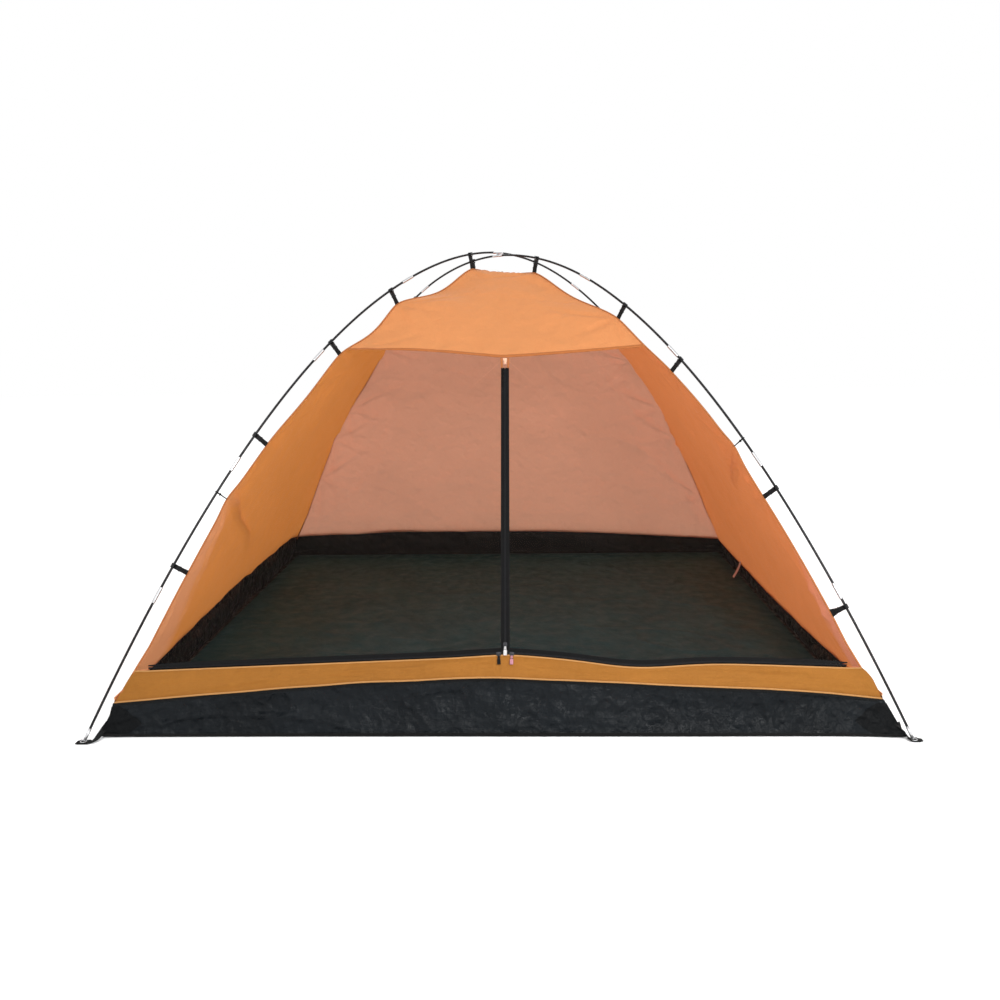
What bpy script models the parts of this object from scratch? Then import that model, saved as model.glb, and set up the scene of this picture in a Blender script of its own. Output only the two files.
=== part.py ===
# Two-pole dome tent inner, pitched without a fly. Metres, +Z up, door towards -Y.
import math

import bmesh
import bpy
import numpy as np
from mathutils import Vector

# ---- driving dimensions ----
FLOOR_HALF = 1.000       # groundsheet, centre to outer face
FOOT_OUT = 0.0612        # pole foot outside that face, along X and along Y
POLE_APEX = 1.298        # height of the pole centre line at the crossing
POLE_POWER = 1.946       # shape of the pole arch
POLE_R = 0.00345         # 6.9 mm fibreglass
FERRULE_WALL = 0.00065
FERRULE_HALF = 0.023
SECTIONS = 10
TIP_R = 0.0022
SLIDE_FIT = 0.0005       # radial clearance of a rod in the next ferrule
CROSS_GAP = 0.0002       # between each pole and the middle where they cross
GAP = 0.0003             # between sewn pieces
SKIN = 0.0025            # fabric thickness as modelled
CLIP_REACH = 0.048       # pole centre to the sewn line
END_REACH = 0.033        # the same at the groundsheet's corner
TUCK_FROM = 0.90         # share along the pole where the walls start to close on that corner
HINGE_OUT = 0.0018       # clip's turning line outside the sewn line
CLIP_W = 0.013
CLIP_FIT = 0.0008        # between pole and hook
CLIP_WALL = 0.0020
CLIPS_L = (0.3104, 1.1802, 1.8545, 2.7511, 3.7862)   # pole sections from the crossing
CLIPS_R = (0.4549, 1.4482, 2.0884, 3.2331, 4.1101)
SCALLOP = 0.018          # fabric edge pulled in between clips
TUB_CORNER = 0.081       # height of the groundsheet's wall at the corners
TUB_FRONT_RISE = 0.069   # extra height at the middle of the front
TUB_SIDE_RISE = 0.028
SILL_IN = 0.035              # sill's top edge at the middle, in from the groundsheet's face
SILL_HEIGHT = 0.195          # height of that edge at the middle
SILL_END = 0.156             # height of that edge at the door's outer corner
DOOR_IN = 0.075              # outer corner of a door flap, in from the groundsheet's face
CAP_FORWARD = 0.028          # middle of the cap's lower edge, further out than its ends
CAP_DIP = 0.0303             # and lower than its ends
ZIP_SHIFT = 0.029            # upright zip's distance from the middle, towards +X
CAP_END_AT = 1.787           # pole sections from the crossing to the ends of the cap's lower edge
ZIP_HALF = 0.005             # half the channel a slider runs in
SLIDER_LEN = 0.012
PULL_LEN = 0.028
PULL_OUT = 0.0046            # pull's near face from the door's outer face
TAB_T = 0.002
STRAP_HALF = 0.010
EYELET_R = 0.0060

ROOT2 = math.sqrt(2.0)
FOOT_HALF = FLOOR_HALF + FOOT_OUT
FERRULE_R = POLE_R + SLIDE_FIT + FERRULE_WALL
CROSS_LIFT = FERRULE_R + CROSS_GAP
DOOR_HALF = FLOOR_HALF - DOOR_IN
SILL_OUT = FLOOR_HALF - SILL_IN


# ---- scene and helpers ----
def clear():
    for ob in list(bpy.data.objects):
        bpy.data.objects.remove(ob, do_unlink=True)


def collection(name):
    col = bpy.data.collections.new(name)
    bpy.context.scene.collection.children.link(col)
    return col


def material(name, colour, rough, metal=0.0):
    mat = bpy.data.materials.new(name)
    mat.use_nodes = True
    shader = mat.node_tree.nodes["Principled BSDF"]
    shader.inputs["Base Color"].default_value = (*colour, 1.0)
    shader.inputs["Roughness"].default_value = rough
    shader.inputs["Metallic"].default_value = metal
    mat.diffuse_color = (*colour, 1.0)
    return mat


def solid(name, verts, faces, mat, origin=(0, 0, 0)):
    mesh = bpy.data.meshes.new(name)
    base = Vector(origin)
    mesh.from_pydata([Vector(v) - base for v in verts], [], faces)
    bm = bmesh.new()
    bm.from_mesh(mesh)
    bmesh.ops.recalc_face_normals(bm, faces=bm.faces)
    bm.to_mesh(mesh)
    bm.free()
    mesh.materials.append(mat)
    ob = bpy.data.objects.new(name, mesh)
    ob.location = base
    TENT.objects.link(ob)
    return ob


def tube(name, stations, mat, sides=8):
    # stations: (point, tangent, side, radius); the ends are capped
    verts, faces = [], []
    for point, tangent, side, radius in stations:
        p, t, n = Vector(point), Vector(tangent), Vector(side)
        up = t.cross(n)
        for k in range(sides):
            a = 2 * math.pi * (k + 0.5) / sides
            verts.append(p + radius * (math.cos(a) * n + math.sin(a) * up))
    for i in range(len(stations) - 1):
        for k in range(sides):
            a, b = i * sides + k, i * sides + (k + 1) % sides
            faces.append((a, b, b + sides, a + sides))
    faces.append(tuple(range(sides)))
    last = (len(stations) - 1) * sides
    faces.append(tuple(last + k for k in range(sides)))
    return solid(name, verts, faces, mat)


def shell(name, outer, inner, mat, origin=(0, 0, 0)):
    # two grids of the same shape joined round their rims into one closed panel
    rows, cols = len(outer), len(outer[0])
    verts = [p for row in outer for p in row] + [p for row in inner for p in row]
    off = rows * cols
    faces = []

    def at(i, j, layer):
        return layer * off + i * cols + j

    for i in range(rows - 1):
        for j in range(cols - 1):
            q = [(i, j), (i, j + 1), (i + 1, j + 1), (i + 1, j)]
            faces.append(tuple(at(a, b, 0) for a, b in q))
            faces.append(tuple(at(a, b, 1) for a, b in reversed(q)))
    rim = [(0, j) for j in range(cols)] + [(i, cols - 1) for i in range(1, rows)]
    rim += [(rows - 1, j) for j in range(cols - 2, -1, -1)] + [(i, 0) for i in range(rows - 2, 0, -1)]
    for k in range(len(rim)):
        a, b = rim[k], rim[(k + 1) % len(rim)]
        faces.append((at(*b, 0), at(*a, 0), at(*a, 1), at(*b, 1)))
    return solid(name, verts, faces, mat, origin)


def prism(name, outline, depth, mat, origin=(0, 0, 0)):
    # outline: points in a plane; depth: the vector to the far face
    n = len(outline)
    pts = [Vector(p) for p in outline]
    verts = pts + [p + Vector(depth) for p in pts]
    faces = [tuple(range(n)), tuple(range(2 * n - 1, n - 1, -1))]
    faces += [(i, (i + 1) % n, n + (i + 1) % n, n + i) for i in range(n)]
    return solid(name, verts, faces, mat, origin)


# ---- the four sides: (out, across, up) to world, turned by quarter turns ----
def side_point(side, out, across, up):
    if side == "front":
        return (across, -out, up)
    if side == "right":
        return (out, across, up)
    if side == "back":
        return (-across, out, up)
    return (-out, -across, up)


# ---- pole arch, in the upright plane through opposite corners ----
def arch(s, lift=0.0):
    a = abs(s)
    z = POLE_APEX * (1 - a ** POLE_POWER)
    if a < 0.3:
        z += lift * (1 - (a / 0.3) ** 2) ** 2
    return ROOT2 * FOOT_HALF * s, z


def arch_frame(s, lift=0.0):
    e = 1e-4
    r0, z0 = arch(s - e, lift)
    r1, z1 = arch(s + e, lift)
    d = Vector((r1 - r0, 0, z1 - z0)).normalized()
    return arch(s, lift), (d.x, d.z)


def share_at_section(sections):
    grid = np.linspace(0, 1, 4001)
    points = np.array([arch(s) for s in grid])
    run = np.concatenate([[0], np.cumsum(np.linalg.norm(np.diff(points, axis=0), axis=1))])
    return float(np.interp(sections * 2 * run[-1] / SECTIONS, run, grid))


def seam_end():
    # share along the pole where the sewn line reaches the groundsheet's corner
    lo, hi = 0.8, 1.0
    for _ in range(50):
        mid = (lo + hi) / 2
        (r, z), (dr, dz) = arch_frame(mid)
        if (r + END_REACH * dz) / ROOT2 < FLOOR_HALF:
            lo = mid
        else:
            hi = mid
    return lo


SEAM_END = seam_end()
CAP_END = share_at_section(CAP_END_AT)
# clips and pole offset at each corner: one pole runs over the other
LEFT_SHARES = tuple(share_at_section(c) for c in CLIPS_L)
RIGHT_SHARES = tuple(share_at_section(c) for c in CLIPS_R)
FRONT_LEFT, FRONT_RIGHT = (LEFT_SHARES, CROSS_LIFT), (RIGHT_SHARES, -CROSS_LIFT)
REAR_LEFT, REAR_RIGHT = (LEFT_SHARES, -CROSS_LIFT), (RIGHT_SHARES, CROSS_LIFT)


def seam(s, corner):
    # sewn line at one side of a panel: (out along one axis, height)
    clips, lift = corner
    (r, z), (dr, dz) = arch_frame(s, lift)
    reach = CLIP_REACH
    stops = (0.0,) + clips + (SEAM_END,)
    for a, b in zip(stops[:-1], stops[1:]):
        if a <= s <= b:
            k = math.sin(math.pi * (s - a) / (b - a)) ** 2
            depth = SCALLOP if b < 0.5 else SCALLOP * 0.25
            reach += depth * k if a > 0 else 0.0
    if s < clips[0]:
        reach += 0.018 * (1 - s / clips[0])
    if s > TUCK_FROM:
        reach -= (CLIP_REACH - END_REACH) * (s - TUCK_FROM) / (SEAM_END - TUCK_FROM)
    return (r + reach * dz) / ROOT2, z - reach * dr


def seam_normal(s, corner):
    e = 2e-3
    u0, z0 = seam(max(s - e, 1e-3), corner)
    u1, z1 = seam(s + e, corner)
    d = Vector((u1 - u0, z1 - z0)).normalized()
    return -d.y, d.x


ACROSS = 9                # points across every panel, shared with the groundsheet wall
ROW_STEP = 0.045          # longest step between stations along the sewn lines


def tub_top(side, t):
    rise = TUB_FRONT_RISE if side == "front" else TUB_SIDE_RISE
    return TUB_CORNER + rise * (1 - abs(t) ** 1.3)


# ---- poles ----
def pole(letter, turn, lift, mat):
    direction = Vector((turn, 1, 0)).normalized()
    side = Vector((1, -turn, 0)).normalized()

    def station(s, radius):
        (r, z), (dr, dz) = arch_frame(s, lift)
        return direction * r + Vector((0, 0, z)), direction * dr + Vector((0, 0, dz)), side, radius

    def share_at(height):
        return (1 - height / POLE_APEX) ** (1 / POLE_POWER)

    grid = np.linspace(-1, 1, 4001)
    pts = np.array([arch(s, lift) for s in grid])
    arc = np.concatenate([[0], np.cumsum(np.linalg.norm(np.diff(pts, axis=0), axis=1))])
    shoulder, tip = share_at(0.0066), share_at(0.0018)

    def at_arc(length):
        return float(np.interp(length, arc, grid))

    step = arc[-1] / SECTIONS
    for k in range(SECTIONS):
        lo, hi = k * step, (k + 1) * step
        parts = []
        if k == 0:
            parts += [station(-tip, TIP_R), station(-shoulder, TIP_R), station(-shoulder, POLE_R)]
            lo = float(np.interp(-shoulder, grid, arc))
        else:
            lo += 0.0005
            parts += [station(at_arc(lo), POLE_R), station(at_arc(lo + FERRULE_HALF / 2), POLE_R),
                      station(at_arc(lo + FERRULE_HALF), POLE_R)]
        last = hi if k < SECTIONS - 1 else float(np.interp(shoulder, grid, arc))
        stop = hi - FERRULE_HALF if k < SECTIONS - 1 else last
        for f in shares(0.1, 0.9, 8):
            parts.append(station(at_arc(lo + f * (stop - lo)), POLE_R))
        parts.append(station(at_arc(stop), POLE_R))
        if k < SECTIONS - 1:
            socket = POLE_R + SLIDE_FIT
            end = hi + FERRULE_HALF
            parts += [station(at_arc(stop), FERRULE_R), station(at_arc(hi), FERRULE_R),
                      station(at_arc(end), FERRULE_R), station(at_arc(end), socket),
                      station(at_arc((hi + end) / 2), socket), station(at_arc(hi), socket)]
        else:
            parts += [station(shoulder, TIP_R), station(tip, TIP_R)]
        tube(f"pole_{letter}_section_{k + 1}", parts, mat)


# ---- clips ----
def clip(name, quarter, s, mat):
    # quarter: signs of X and Y of the foot this pole half goes to
    sx, sy = quarter
    direction = Vector((sx, sy, 0)).normalized()
    lift = CROSS_LIFT if sx == sy else -CROSS_LIFT
    (r, z), (dr, dz) = arch_frame(s, lift)
    t = direction * dr + Vector((0, 0, dz))
    centre = direction * r + Vector((0, 0, z))
    out = Vector((0, 0, 1)) * dr - direction * dz     # from the sewn line to the pole
    across = out.cross(t)
    if across.x * sx > 0:                             # hooks swing towards the side walls
        across, t = -across, -t
    reach = CLIP_REACH - HINGE_OUT
    root = centre - out * reach
    ri = POLE_R + CLIP_FIT
    ro = ri + CLIP_WALL
    tip = 0.006
    prof = [(0.001, 0.0), (0.001, reach - ro), (tip, reach - ro), (tip, reach - ri)]
    for k in range(7):
        a = math.radians(-90 - 30 * k)
        prof.append((ri * math.cos(a), reach + ri * math.sin(a)))
    prof += [(tip, reach + ri), (tip, reach + ro)]
    for k in range(6):
        a = math.radians(90 + 30 * k)
        prof.append((ro * math.cos(a), reach + ro * math.sin(a)))
    prof += [(-0.001, reach - ro), (-0.001, 0.0), (0.0, -0.001)]
    outline = [root + across * x + out * y - t * (CLIP_W / 2) for x, y in prof]
    return prism(name, outline, t * CLIP_W, mat, root)


# ---- fabric ----
def groundsheet(mat):
    n = ACROSS - 1
    ring = []
    for side in ("front", "right", "back", "left"):
        for k in range(n):
            ring.append((side, -1 + 2 * k / n))

    def loop(half, height):
        out = []
        for side, t in ring:
            z = tub_top(side, t) if height is None else height
            out.append(side_point(side, half, t * half, z))
        return out

    count = len(ring)
    loops = [loop(FLOOR_HALF, 0.0), loop(FLOOR_HALF, None), loop(FLOOR_HALF - SKIN, None),
             loop(FLOOR_HALF - SKIN, SKIN)]
    verts = [p for lp in loops for p in lp]
    faces = []
    for i in range(3):
        for k in range(count):
            a, b = i * count + k, i * count + (k + 1) % count
            faces.append((a, b, b + count, a + count))
    faces.append(tuple(range(count)))
    faces.append(tuple(3 * count + k for k in range(count)))
    return solid("groundsheet", verts, faces, mat)


def corner_pair(side):
    # the corners at the two ends of the panel, at across = -1 and +1
    return {"front": (FRONT_LEFT, FRONT_RIGHT), "back": (REAR_RIGHT, REAR_LEFT),
            "left": (REAR_LEFT, FRONT_LEFT), "right": (FRONT_RIGHT, REAR_RIGHT)}[side]


def shares(lo, hi, n):
    return [lo + (hi - lo) * k / n for k in range(n + 1)]


def rows(lo, hi):
    # stations along the sewn line, one at every clip, shared by the panels that meet there
    stops = sorted({lo, hi, *(s for s in LEFT_SHARES + RIGHT_SHARES + (CAP_END, TUCK_FROM)
                              if lo < s < hi)})
    out = [lo]
    for a, b in zip(stops[:-1], stops[1:]):
        n = math.ceil((b - a) / ROW_STEP)
        out += [a + (b - a) * k / n for k in range(1, n + 1)]
    return out


def panel(name, side, mat):
    pair = corner_pair(side)
    outer, inner = [], []
    for s in rows(0.012, SEAM_END):
        row_o, row_i = [], []
        ends = [(*seam(s, c), *seam_normal(s, c)) for c in pair]
        fade = max(0.0, (s - TUCK_FROM) / (SEAM_END - TUCK_FROM)) ** 2
        for t in np.linspace(-1, 1, ACROSS):
            f = (t + 1) / 2
            u, z, nu, nz = (ends[0][k] * (1 - f) + ends[1][k] * f for k in range(4))
            sag = 0.030 * (1 - t * t) * math.sin(math.pi * s / SEAM_END)
            u, z = u - sag * nu, z - sag * nz
            z += (tub_top(side, t) + GAP - z) * fade
            u += (FLOOR_HALF - u) * fade
            ni, nj = nu * (1 - fade) + fade, nz * (1 - fade)
            ui, zi = u - SKIN * ni, z - SKIN * nj
            e = ends[0] if t < 0 else ends[1]
            edge = e[0] + (FLOOR_HALF - e[0]) * fade
            edge_i = edge - SKIN * (e[2] * (1 - fade) + fade)
            row_o.append(side_point(side, u, t * (edge - GAP), z))
            row_i.append(side_point(side, ui, t * (edge_i - GAP), zi))
        outer.append(row_o)
        inner.append(row_i)
    return shell(name, outer, inner, mat)


def cap(mat):
    outer, inner = [], []
    ends = corner_pair("front")
    for s in rows(0.012, CAP_END):
        row_o, row_i = [], []
        e = [(*seam(s, c), *seam_normal(s, c)) for c in ends]
        low = (s / CAP_END) ** 4
        for t in np.linspace(-1, 1, ACROSS):
            f = (t + 1) / 2
            u, z, nu, nz = (e[0][k] * (1 - f) + e[1][k] * f for k in range(4))
            sag = 0.020 * (1 - t * t) * math.sin(math.pi * s / CAP_END)
            u, z = u - sag * nu, z - sag * nz
            mid = (1 - abs(t)) * low
            u += (cap_middle()[0] - u) * mid
            z += (cap_middle()[1] + 0.0035 - z) * mid
            edge = e[0] if t < 0 else e[1]
            aside = ZIP_SHIFT * mid
            row_o.append(side_point("front", u, t * (edge[0] - GAP) + aside, z))
            row_i.append(side_point("front", u - SKIN * nu,
                                    t * (edge[0] - SKIN * edge[2] - GAP) + aside, z - SKIN * nz))
        outer.append(row_o)
        inner.append(row_i)
    return shell("front_cap", outer, inner, mat)


# a flap's corners, mirrored to +X for the left one
def cap_middle():
    u, z = seam(CAP_END, FRONT_RIGHT)
    return u + CAP_FORWARD, z - CAP_DIP


def door_frame(sx):
    out, up = cap_middle()
    top = Vector((sx * ZIP_SHIFT, -out, up))
    low = Vector((sx * ZIP_SHIFT, -SILL_OUT, SILL_HEIGHT))
    along = (top - low).normalized()
    low = low + along * ZIP_HALF            # middle of the sill zip's channel
    s_end = share_of_height(SILL_END, FRONT_RIGHT)
    corner = Vector((DOOR_HALF, -seam(s_end, FRONT_RIGHT)[0] - 0.0005, SILL_END)) + along * ZIP_HALF
    sill_dir = (corner - low).normalized()
    normal = sill_dir.cross(along).normalized()
    if normal.y > 0:
        normal = -normal
    return top, low, corner, along, sill_dir, normal


def share_of_height(height, corner):
    lo, hi = 0.3, SEAM_END
    for _ in range(50):
        mid = (lo + hi) / 2
        if seam(mid, corner)[1] > height:
            lo = mid
        else:
            hi = mid
    return lo


def flip(p, sx):
    return Vector((p.x * sx, p.y, p.z))


def flap(name, sx, mat):
    top, low, corner, along, sill_dir, normal = door_frame(sx)
    hinge = (corner - top).normalized()
    inward = normal.cross(hinge).normalized()
    if inward.dot(low - top) < 0:
        inward = -inward
    # three edges of the flap: zip, sill zip, hinge; each moved in by its clearance
    a = meet(top, along, low + Vector((ZIP_HALF, 0, 0)), hinge, top + inward * GAP, inward, sill_dir)
    b = low + Vector((ZIP_HALF, 0, 0)) + sill_up(sill_dir, along) * ZIP_HALF
    b = b + sill_dir * 0
    c = corner + sill_up(sill_dir, along) * ZIP_HALF
    k = (c - (top + inward * GAP)).dot(inward)
    c = c - sill_dir * (k / sill_dir.dot(inward))
    outline = [flip(p, sx) for p in (a, b, c)]
    n = flip(normal, sx)
    origin = flip(top, sx)
    return prism(name, outline, -n * SKIN, mat, origin)


def sill_up(sill_dir, along):
    return (along - sill_dir * along.dot(sill_dir)).normalized()


def meet(top, along, zip_point, hinge, hinge_point, inward, sill_dir):
    # where the zip edge crosses the hinge edge
    k = (hinge_point - zip_point).dot(inward) / along.dot(inward)
    return zip_point + along * k


def mesh_panel(name, sx, mat):
    side = FRONT_RIGHT if sx > 0 else FRONT_LEFT
    top, low, corner, along, sill_dir, normal = door_frame(sx)
    hinge = (corner - top).normalized()
    inward = normal.cross(hinge).normalized()
    if inward.dot(low - top) < 0:
        inward = -inward
    foot = Vector((corner.x, corner.y, corner.z)) - sill_up(sill_dir, along) * (ZIP_HALF - 0.001)
    start = top - inward * GAP
    end = foot - inward * (foot - start).dot(inward) - inward * 0
    s_lo = CAP_END
    s_hi = share_of_height(SILL_END + 0.0012, side)
    outer, inner = [], []
    for k, s in enumerate(rows(s_lo, s_hi)):
        f = (s - s_lo) / (s_hi - s_lo)
        p = start.lerp(end, f)
        u, z = seam(s, side)
        nu, nz = seam_normal(s, side)
        if k == 0:
            z -= 0.0008
        q = Vector((u - GAP, -u, z))
        qi = Vector((u - SKIN * nu - GAP, -(u - SKIN * nu), z - SKIN * nz))
        pi = p - normal * SKIN
        row_o, row_i = [], []
        for j in range(4):
            g = j / 3
            row_o.append(flip(p.lerp(q, g), sx))
            row_i.append(flip(pi.lerp(qi, g), sx))
        outer.append(row_o)
        inner.append(row_i)
    return shell(name, outer, inner, mat)


def sill(mat):
    outer, inner = [], []
    pair = corner_pair("front")
    ends = [share_of_height(SILL_END - 0.001, c) for c in pair]
    for f in (0.0, 0.5, 1.0):
        row_o, row_i = [], []
        for t in np.linspace(-1, 1, ACROSS):
            edge_u = seam(ends[0] if t < 0 else ends[1], pair[0] if t < 0 else pair[1])[0]
            aside = math.copysign(ZIP_SHIFT, t)
            k = min(abs(t) * (edge_u - aside) / (DOOR_HALF - aside), 1.0)
            mid_u = SILL_OUT + (edge_u - SILL_OUT) * abs(t)
            hi = Vector((t * (edge_u - GAP) + ZIP_SHIFT * (1 - abs(t)), -mid_u,
                         SILL_HEIGHT + (SILL_END - SILL_HEIGHT) * k))
            lo = Vector((t * (FLOOR_HALF - GAP), -FLOOR_HALF, tub_top("front", t) + GAP))
            p = lo.lerp(hi, f)
            n = Vector((0, -0.84, 0.54)) * f + Vector((0, -1, 0)) * (1 - f)
            q = p - n * SKIN
            if abs(t) == 1:
                q.x = math.copysign(-q.y - GAP, t)
            row_o.append(p)
            row_i.append(q)
        outer.append(row_o)
        inner.append(row_i)
    return shell("front_sill", outer, inner, mat)


# ---- zip sliders and pulls ----
def slider(name, centre, run, up, normal, mat):
    # a waisted body that fills the channel, 3 mm proud outside and inside
    half = SLIDER_LEN / 2
    wide = ZIP_HALF - 0.0008
    prof = [(-half, -0.6), (-half + 0.002, -1), (half - 0.002, -1), (half, -0.6),
            (half, 0.6), (half - 0.002, 1), (-half + 0.002, 1), (-half, 0.6)]
    outline = [centre + run * x + up * (w * wide) - normal * (SKIN + 0.002) for x, w in prof]
    return prism(name, outline, normal * (SKIN + 0.0045), mat, centre)


def pull(name, pivot, down, across, normal, mat):
    # tab with a narrower neck, hanging in front of the slider
    prof = [(0.0, 0.0022), (0.006, 0.0022), (0.010, 0.0035), (PULL_LEN - 0.003, 0.0035),
            (PULL_LEN, 0.0022)]
    pts = [(x, w) for x, w in prof] + [(x, -w) for x, w in reversed(prof)]
    outline = [pivot + down * x + across * w for x, w in pts]
    return prism(name, outline, normal * 0.0016, mat, pivot + normal * 0.0008)


def zips(metal, pull_mat):
    top, low, corner, along, sill_dir, normal = door_frame(1)
    x = Vector((1, 0, 0))
    flat = x.cross(along).normalized()
    if flat.y > 0:
        flat = -flat
    centre = low + along * 0.024
    slider("zip_slider", centre, along, x, flat, metal)
    pull("zip_pull", centre + flat * PULL_OUT, -along, x, flat, pull_mat)
    for word, sx in (("left", -1), ("right", 1)):
        top, low, corner, along, sill_dir, normal = door_frame(sx)
        up = sill_up(sill_dir, along)
        centre = low + sill_dir * 0.017
        c = flip(centre, sx)
        slider(f"{word}_sill_slider", c, flip(sill_dir, sx), flip(up, sx), flip(normal, sx), metal)
        # the pull hangs along the slope of the sill
        hem = Vector((centre.x, -FLOOR_HALF, tub_top("front", centre.x / FLOOR_HALF)))
        hang = hem - (centre - up * ZIP_HALF)
        hang = (hang - sill_dir * hang.dot(sill_dir)).normalized()
        face = sill_dir.cross(hang).normalized()
        if face.y > 0:
            face = -face
        pull(f"{word}_sill_pull", c + flip(normal, sx) * PULL_OUT, flip(hang, sx),
             flip(sill_dir, sx), flip(face, sx), pull_mat)


# ---- corner straps ----
def strap(name, quarter, mat, cutter_col):
    direction = Vector((quarter[0], quarter[1], 0)).normalized()
    side = Vector((-direction.y, direction.x, 0))
    start = ROOT2 * FLOOR_HALF + 0.0006
    foot = ROOT2 * FOOT_HALF
    path = [(start, 0.036, STRAP_HALF), (start + 0.022, 0.014, STRAP_HALF),
            (start + 0.046, TAB_T / 2, STRAP_HALF), (foot - 0.012, TAB_T / 2, 0.013),
            (foot + 0.016, TAB_T / 2, 0.013), (foot + 0.024, TAB_T / 2, 0.007)]
    verts, faces = [], []
    for k, (r, z, w) in enumerate(path):
        a, b = path[max(k - 1, 0)], path[min(k + 1, len(path) - 1)]
        d = Vector((b[0] - a[0], b[1] - a[1])).normalized()
        nr, nz = -d.y, d.x
        if k == 0:
            nr, nz = 0.0, 1.0
        if z == TAB_T / 2:
            nr, nz = 0.0, 1.0
        h = TAB_T / 2
        for sgn, m in ((1, 1), (-1, 1), (-1, -1), (1, -1)):
            verts.append(direction * (r + nr * h * m) + Vector((0, 0, z + nz * h * m))
                         + side * (w * sgn))
    for i in range(len(path) - 1):
        for k in range(4):
            a, b = i * 4 + k, i * 4 + (k + 1) % 4
            faces.append((a, b, b + 4, a + 4))
    faces.append((0, 1, 2, 3))
    last = (len(path) - 1) * 4
    faces.append((last, last + 1, last + 2, last + 3))
    ob = solid(name, verts, faces, mat)
    bpy.ops.mesh.primitive_cylinder_add(vertices=12, radius=EYELET_R, depth=0.02,
                                        location=direction * (foot - 0.0008) + Vector((0, 0, 0.001)))
    tool = bpy.context.active_object
    tool.name = name + "_cutter"
    for col in list(tool.users_collection):
        col.objects.unlink(tool)
    cutter_col.objects.link(tool)
    tool.hide_render = True
    tool.display_type = "WIRE"
    cut = ob.modifiers.new("eyelet", "BOOLEAN")
    cut.operation = "DIFFERENCE"
    cut.solver = "EXACT"
    cut.object = tool
    return ob


# ---- build ----
clear()
TENT = collection("dome_tent")
CUTTERS = collection("cutters")
POLE = material("pole", (0.035, 0.036, 0.040), 0.35)
CLIP = material("clip", (0.010, 0.010, 0.011), 0.6)
ORANGE = material("orange_fabric", (0.52, 0.21, 0.06), 0.85)
MESH = material("door_mesh", (0.05, 0.04, 0.035), 0.9)
TUB = material("groundsheet_fabric", (0.012, 0.012, 0.013), 0.45)
ZIP = material("zip_metal", (0.02, 0.02, 0.022), 0.4, 0.6)
PULL = material("pull_cord", (0.75, 0.62, 0.60), 0.7)
STRAP = material("strap_webbing", (0.010, 0.010, 0.010), 0.8)

pole("a", 1, CROSS_LIFT, POLE)
pole("b", -1, -CROSS_LIFT, POLE)
for word, quarter, places in (("front_left", (-1, -1), LEFT_SHARES), ("front_right", (1, -1), RIGHT_SHARES),
                              ("rear_left", (-1, 1), LEFT_SHARES), ("rear_right", (1, 1), RIGHT_SHARES)):
    for number, share in enumerate(places, 1):
        clip(f"clip_{word}_{number}", quarter, share, CLIP)
    strap(f"strap_{word}", quarter, STRAP, CUTTERS)
groundsheet(TUB)
sill(ORANGE)
cap(ORANGE)
panel("left_wall", "left", ORANGE)
panel("right_wall", "right", ORANGE)
panel("back_wall", "back", ORANGE)
for word, sign in (("left", -1), ("right", 1)):
    mesh_panel(f"{word}_mesh", sign, MESH)
    flap(f"{word}_flap", sign, MESH)
zips(ZIP, PULL)
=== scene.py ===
import math

import bpy
import numpy as np
from mathutils import Matrix, Vector


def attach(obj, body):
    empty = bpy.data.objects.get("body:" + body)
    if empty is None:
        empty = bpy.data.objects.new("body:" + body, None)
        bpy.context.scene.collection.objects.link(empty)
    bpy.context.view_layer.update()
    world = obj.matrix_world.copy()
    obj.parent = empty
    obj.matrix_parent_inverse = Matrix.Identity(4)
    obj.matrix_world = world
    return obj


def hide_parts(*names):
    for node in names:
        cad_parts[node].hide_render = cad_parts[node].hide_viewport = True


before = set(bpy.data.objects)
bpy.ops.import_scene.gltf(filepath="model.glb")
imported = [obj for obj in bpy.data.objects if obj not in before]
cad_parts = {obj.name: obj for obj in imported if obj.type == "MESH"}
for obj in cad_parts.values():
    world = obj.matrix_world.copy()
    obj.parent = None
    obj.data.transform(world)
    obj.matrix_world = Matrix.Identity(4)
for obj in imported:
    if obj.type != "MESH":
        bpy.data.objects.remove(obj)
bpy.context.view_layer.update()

# ---- the tent's dimensions, as in the CAD, in metres ----
FLOOR_HALF = 1.000
FOOT_HALF = 1.0612
POLE_APEX = 1.298
POLE_POWER = 1.946
POLE_R = 0.00345
FERRULE_R = 0.0046
FERRULE_HALF = 0.023
SECTIONS = 10
TIP_R = 0.0022
CROSS_LIFT = 0.0048
CLIP_REACH = 0.048
END_REACH = 0.033
TUCK_FROM = 0.90
HINGE_OUT = 0.0018
CLIP_W = 0.013
SILL_OUT = 0.965
SILL_HEIGHT = 0.195
SILL_END = 0.156
DOOR_HALF = 0.925
DOOR_CORNER_OUT = 0.956
DOOR_TOP = (0.480, 0.955)
ZIP_SHIFT = 0.029
ZIP_HALF = 0.005
ROOT2 = math.sqrt(2.0)
TIE_L, TIE_R = 0.725, 0.654     # elastic ties, as a share of the half pole
TOP_SHARE = 0.008               # where the panels start, next to the poles' crossing
UP = np.array([0, 0, 1.0])
SX = Vector((1, 0, 0))


# ---- the pole arch, as in the CAD ----
def arch(s, lift=0.0):
    a = np.abs(s)
    z = POLE_APEX * (1 - a ** POLE_POWER)
    return ROOT2 * FOOT_HALF * s, z + np.where(a < 0.3, lift * (1 - (a / 0.3) ** 2) ** 2, 0.0)


def arch_dir(s, lift=0.0):
    e = 1e-4
    (r0, z0), (r1, z1) = arch(s - e, lift), arch(s + e, lift)
    d = np.hypot(r1 - r0, z1 - z0)
    return (r1 - r0) / d, (z1 - z0) / d


def pole_run(s, lift=0.0):
    # distance along the pole at each of the shares s
    r, z = arch(s, lift)
    return np.concatenate([[0], np.cumsum(np.hypot(np.diff(r), np.diff(z)))])


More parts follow.
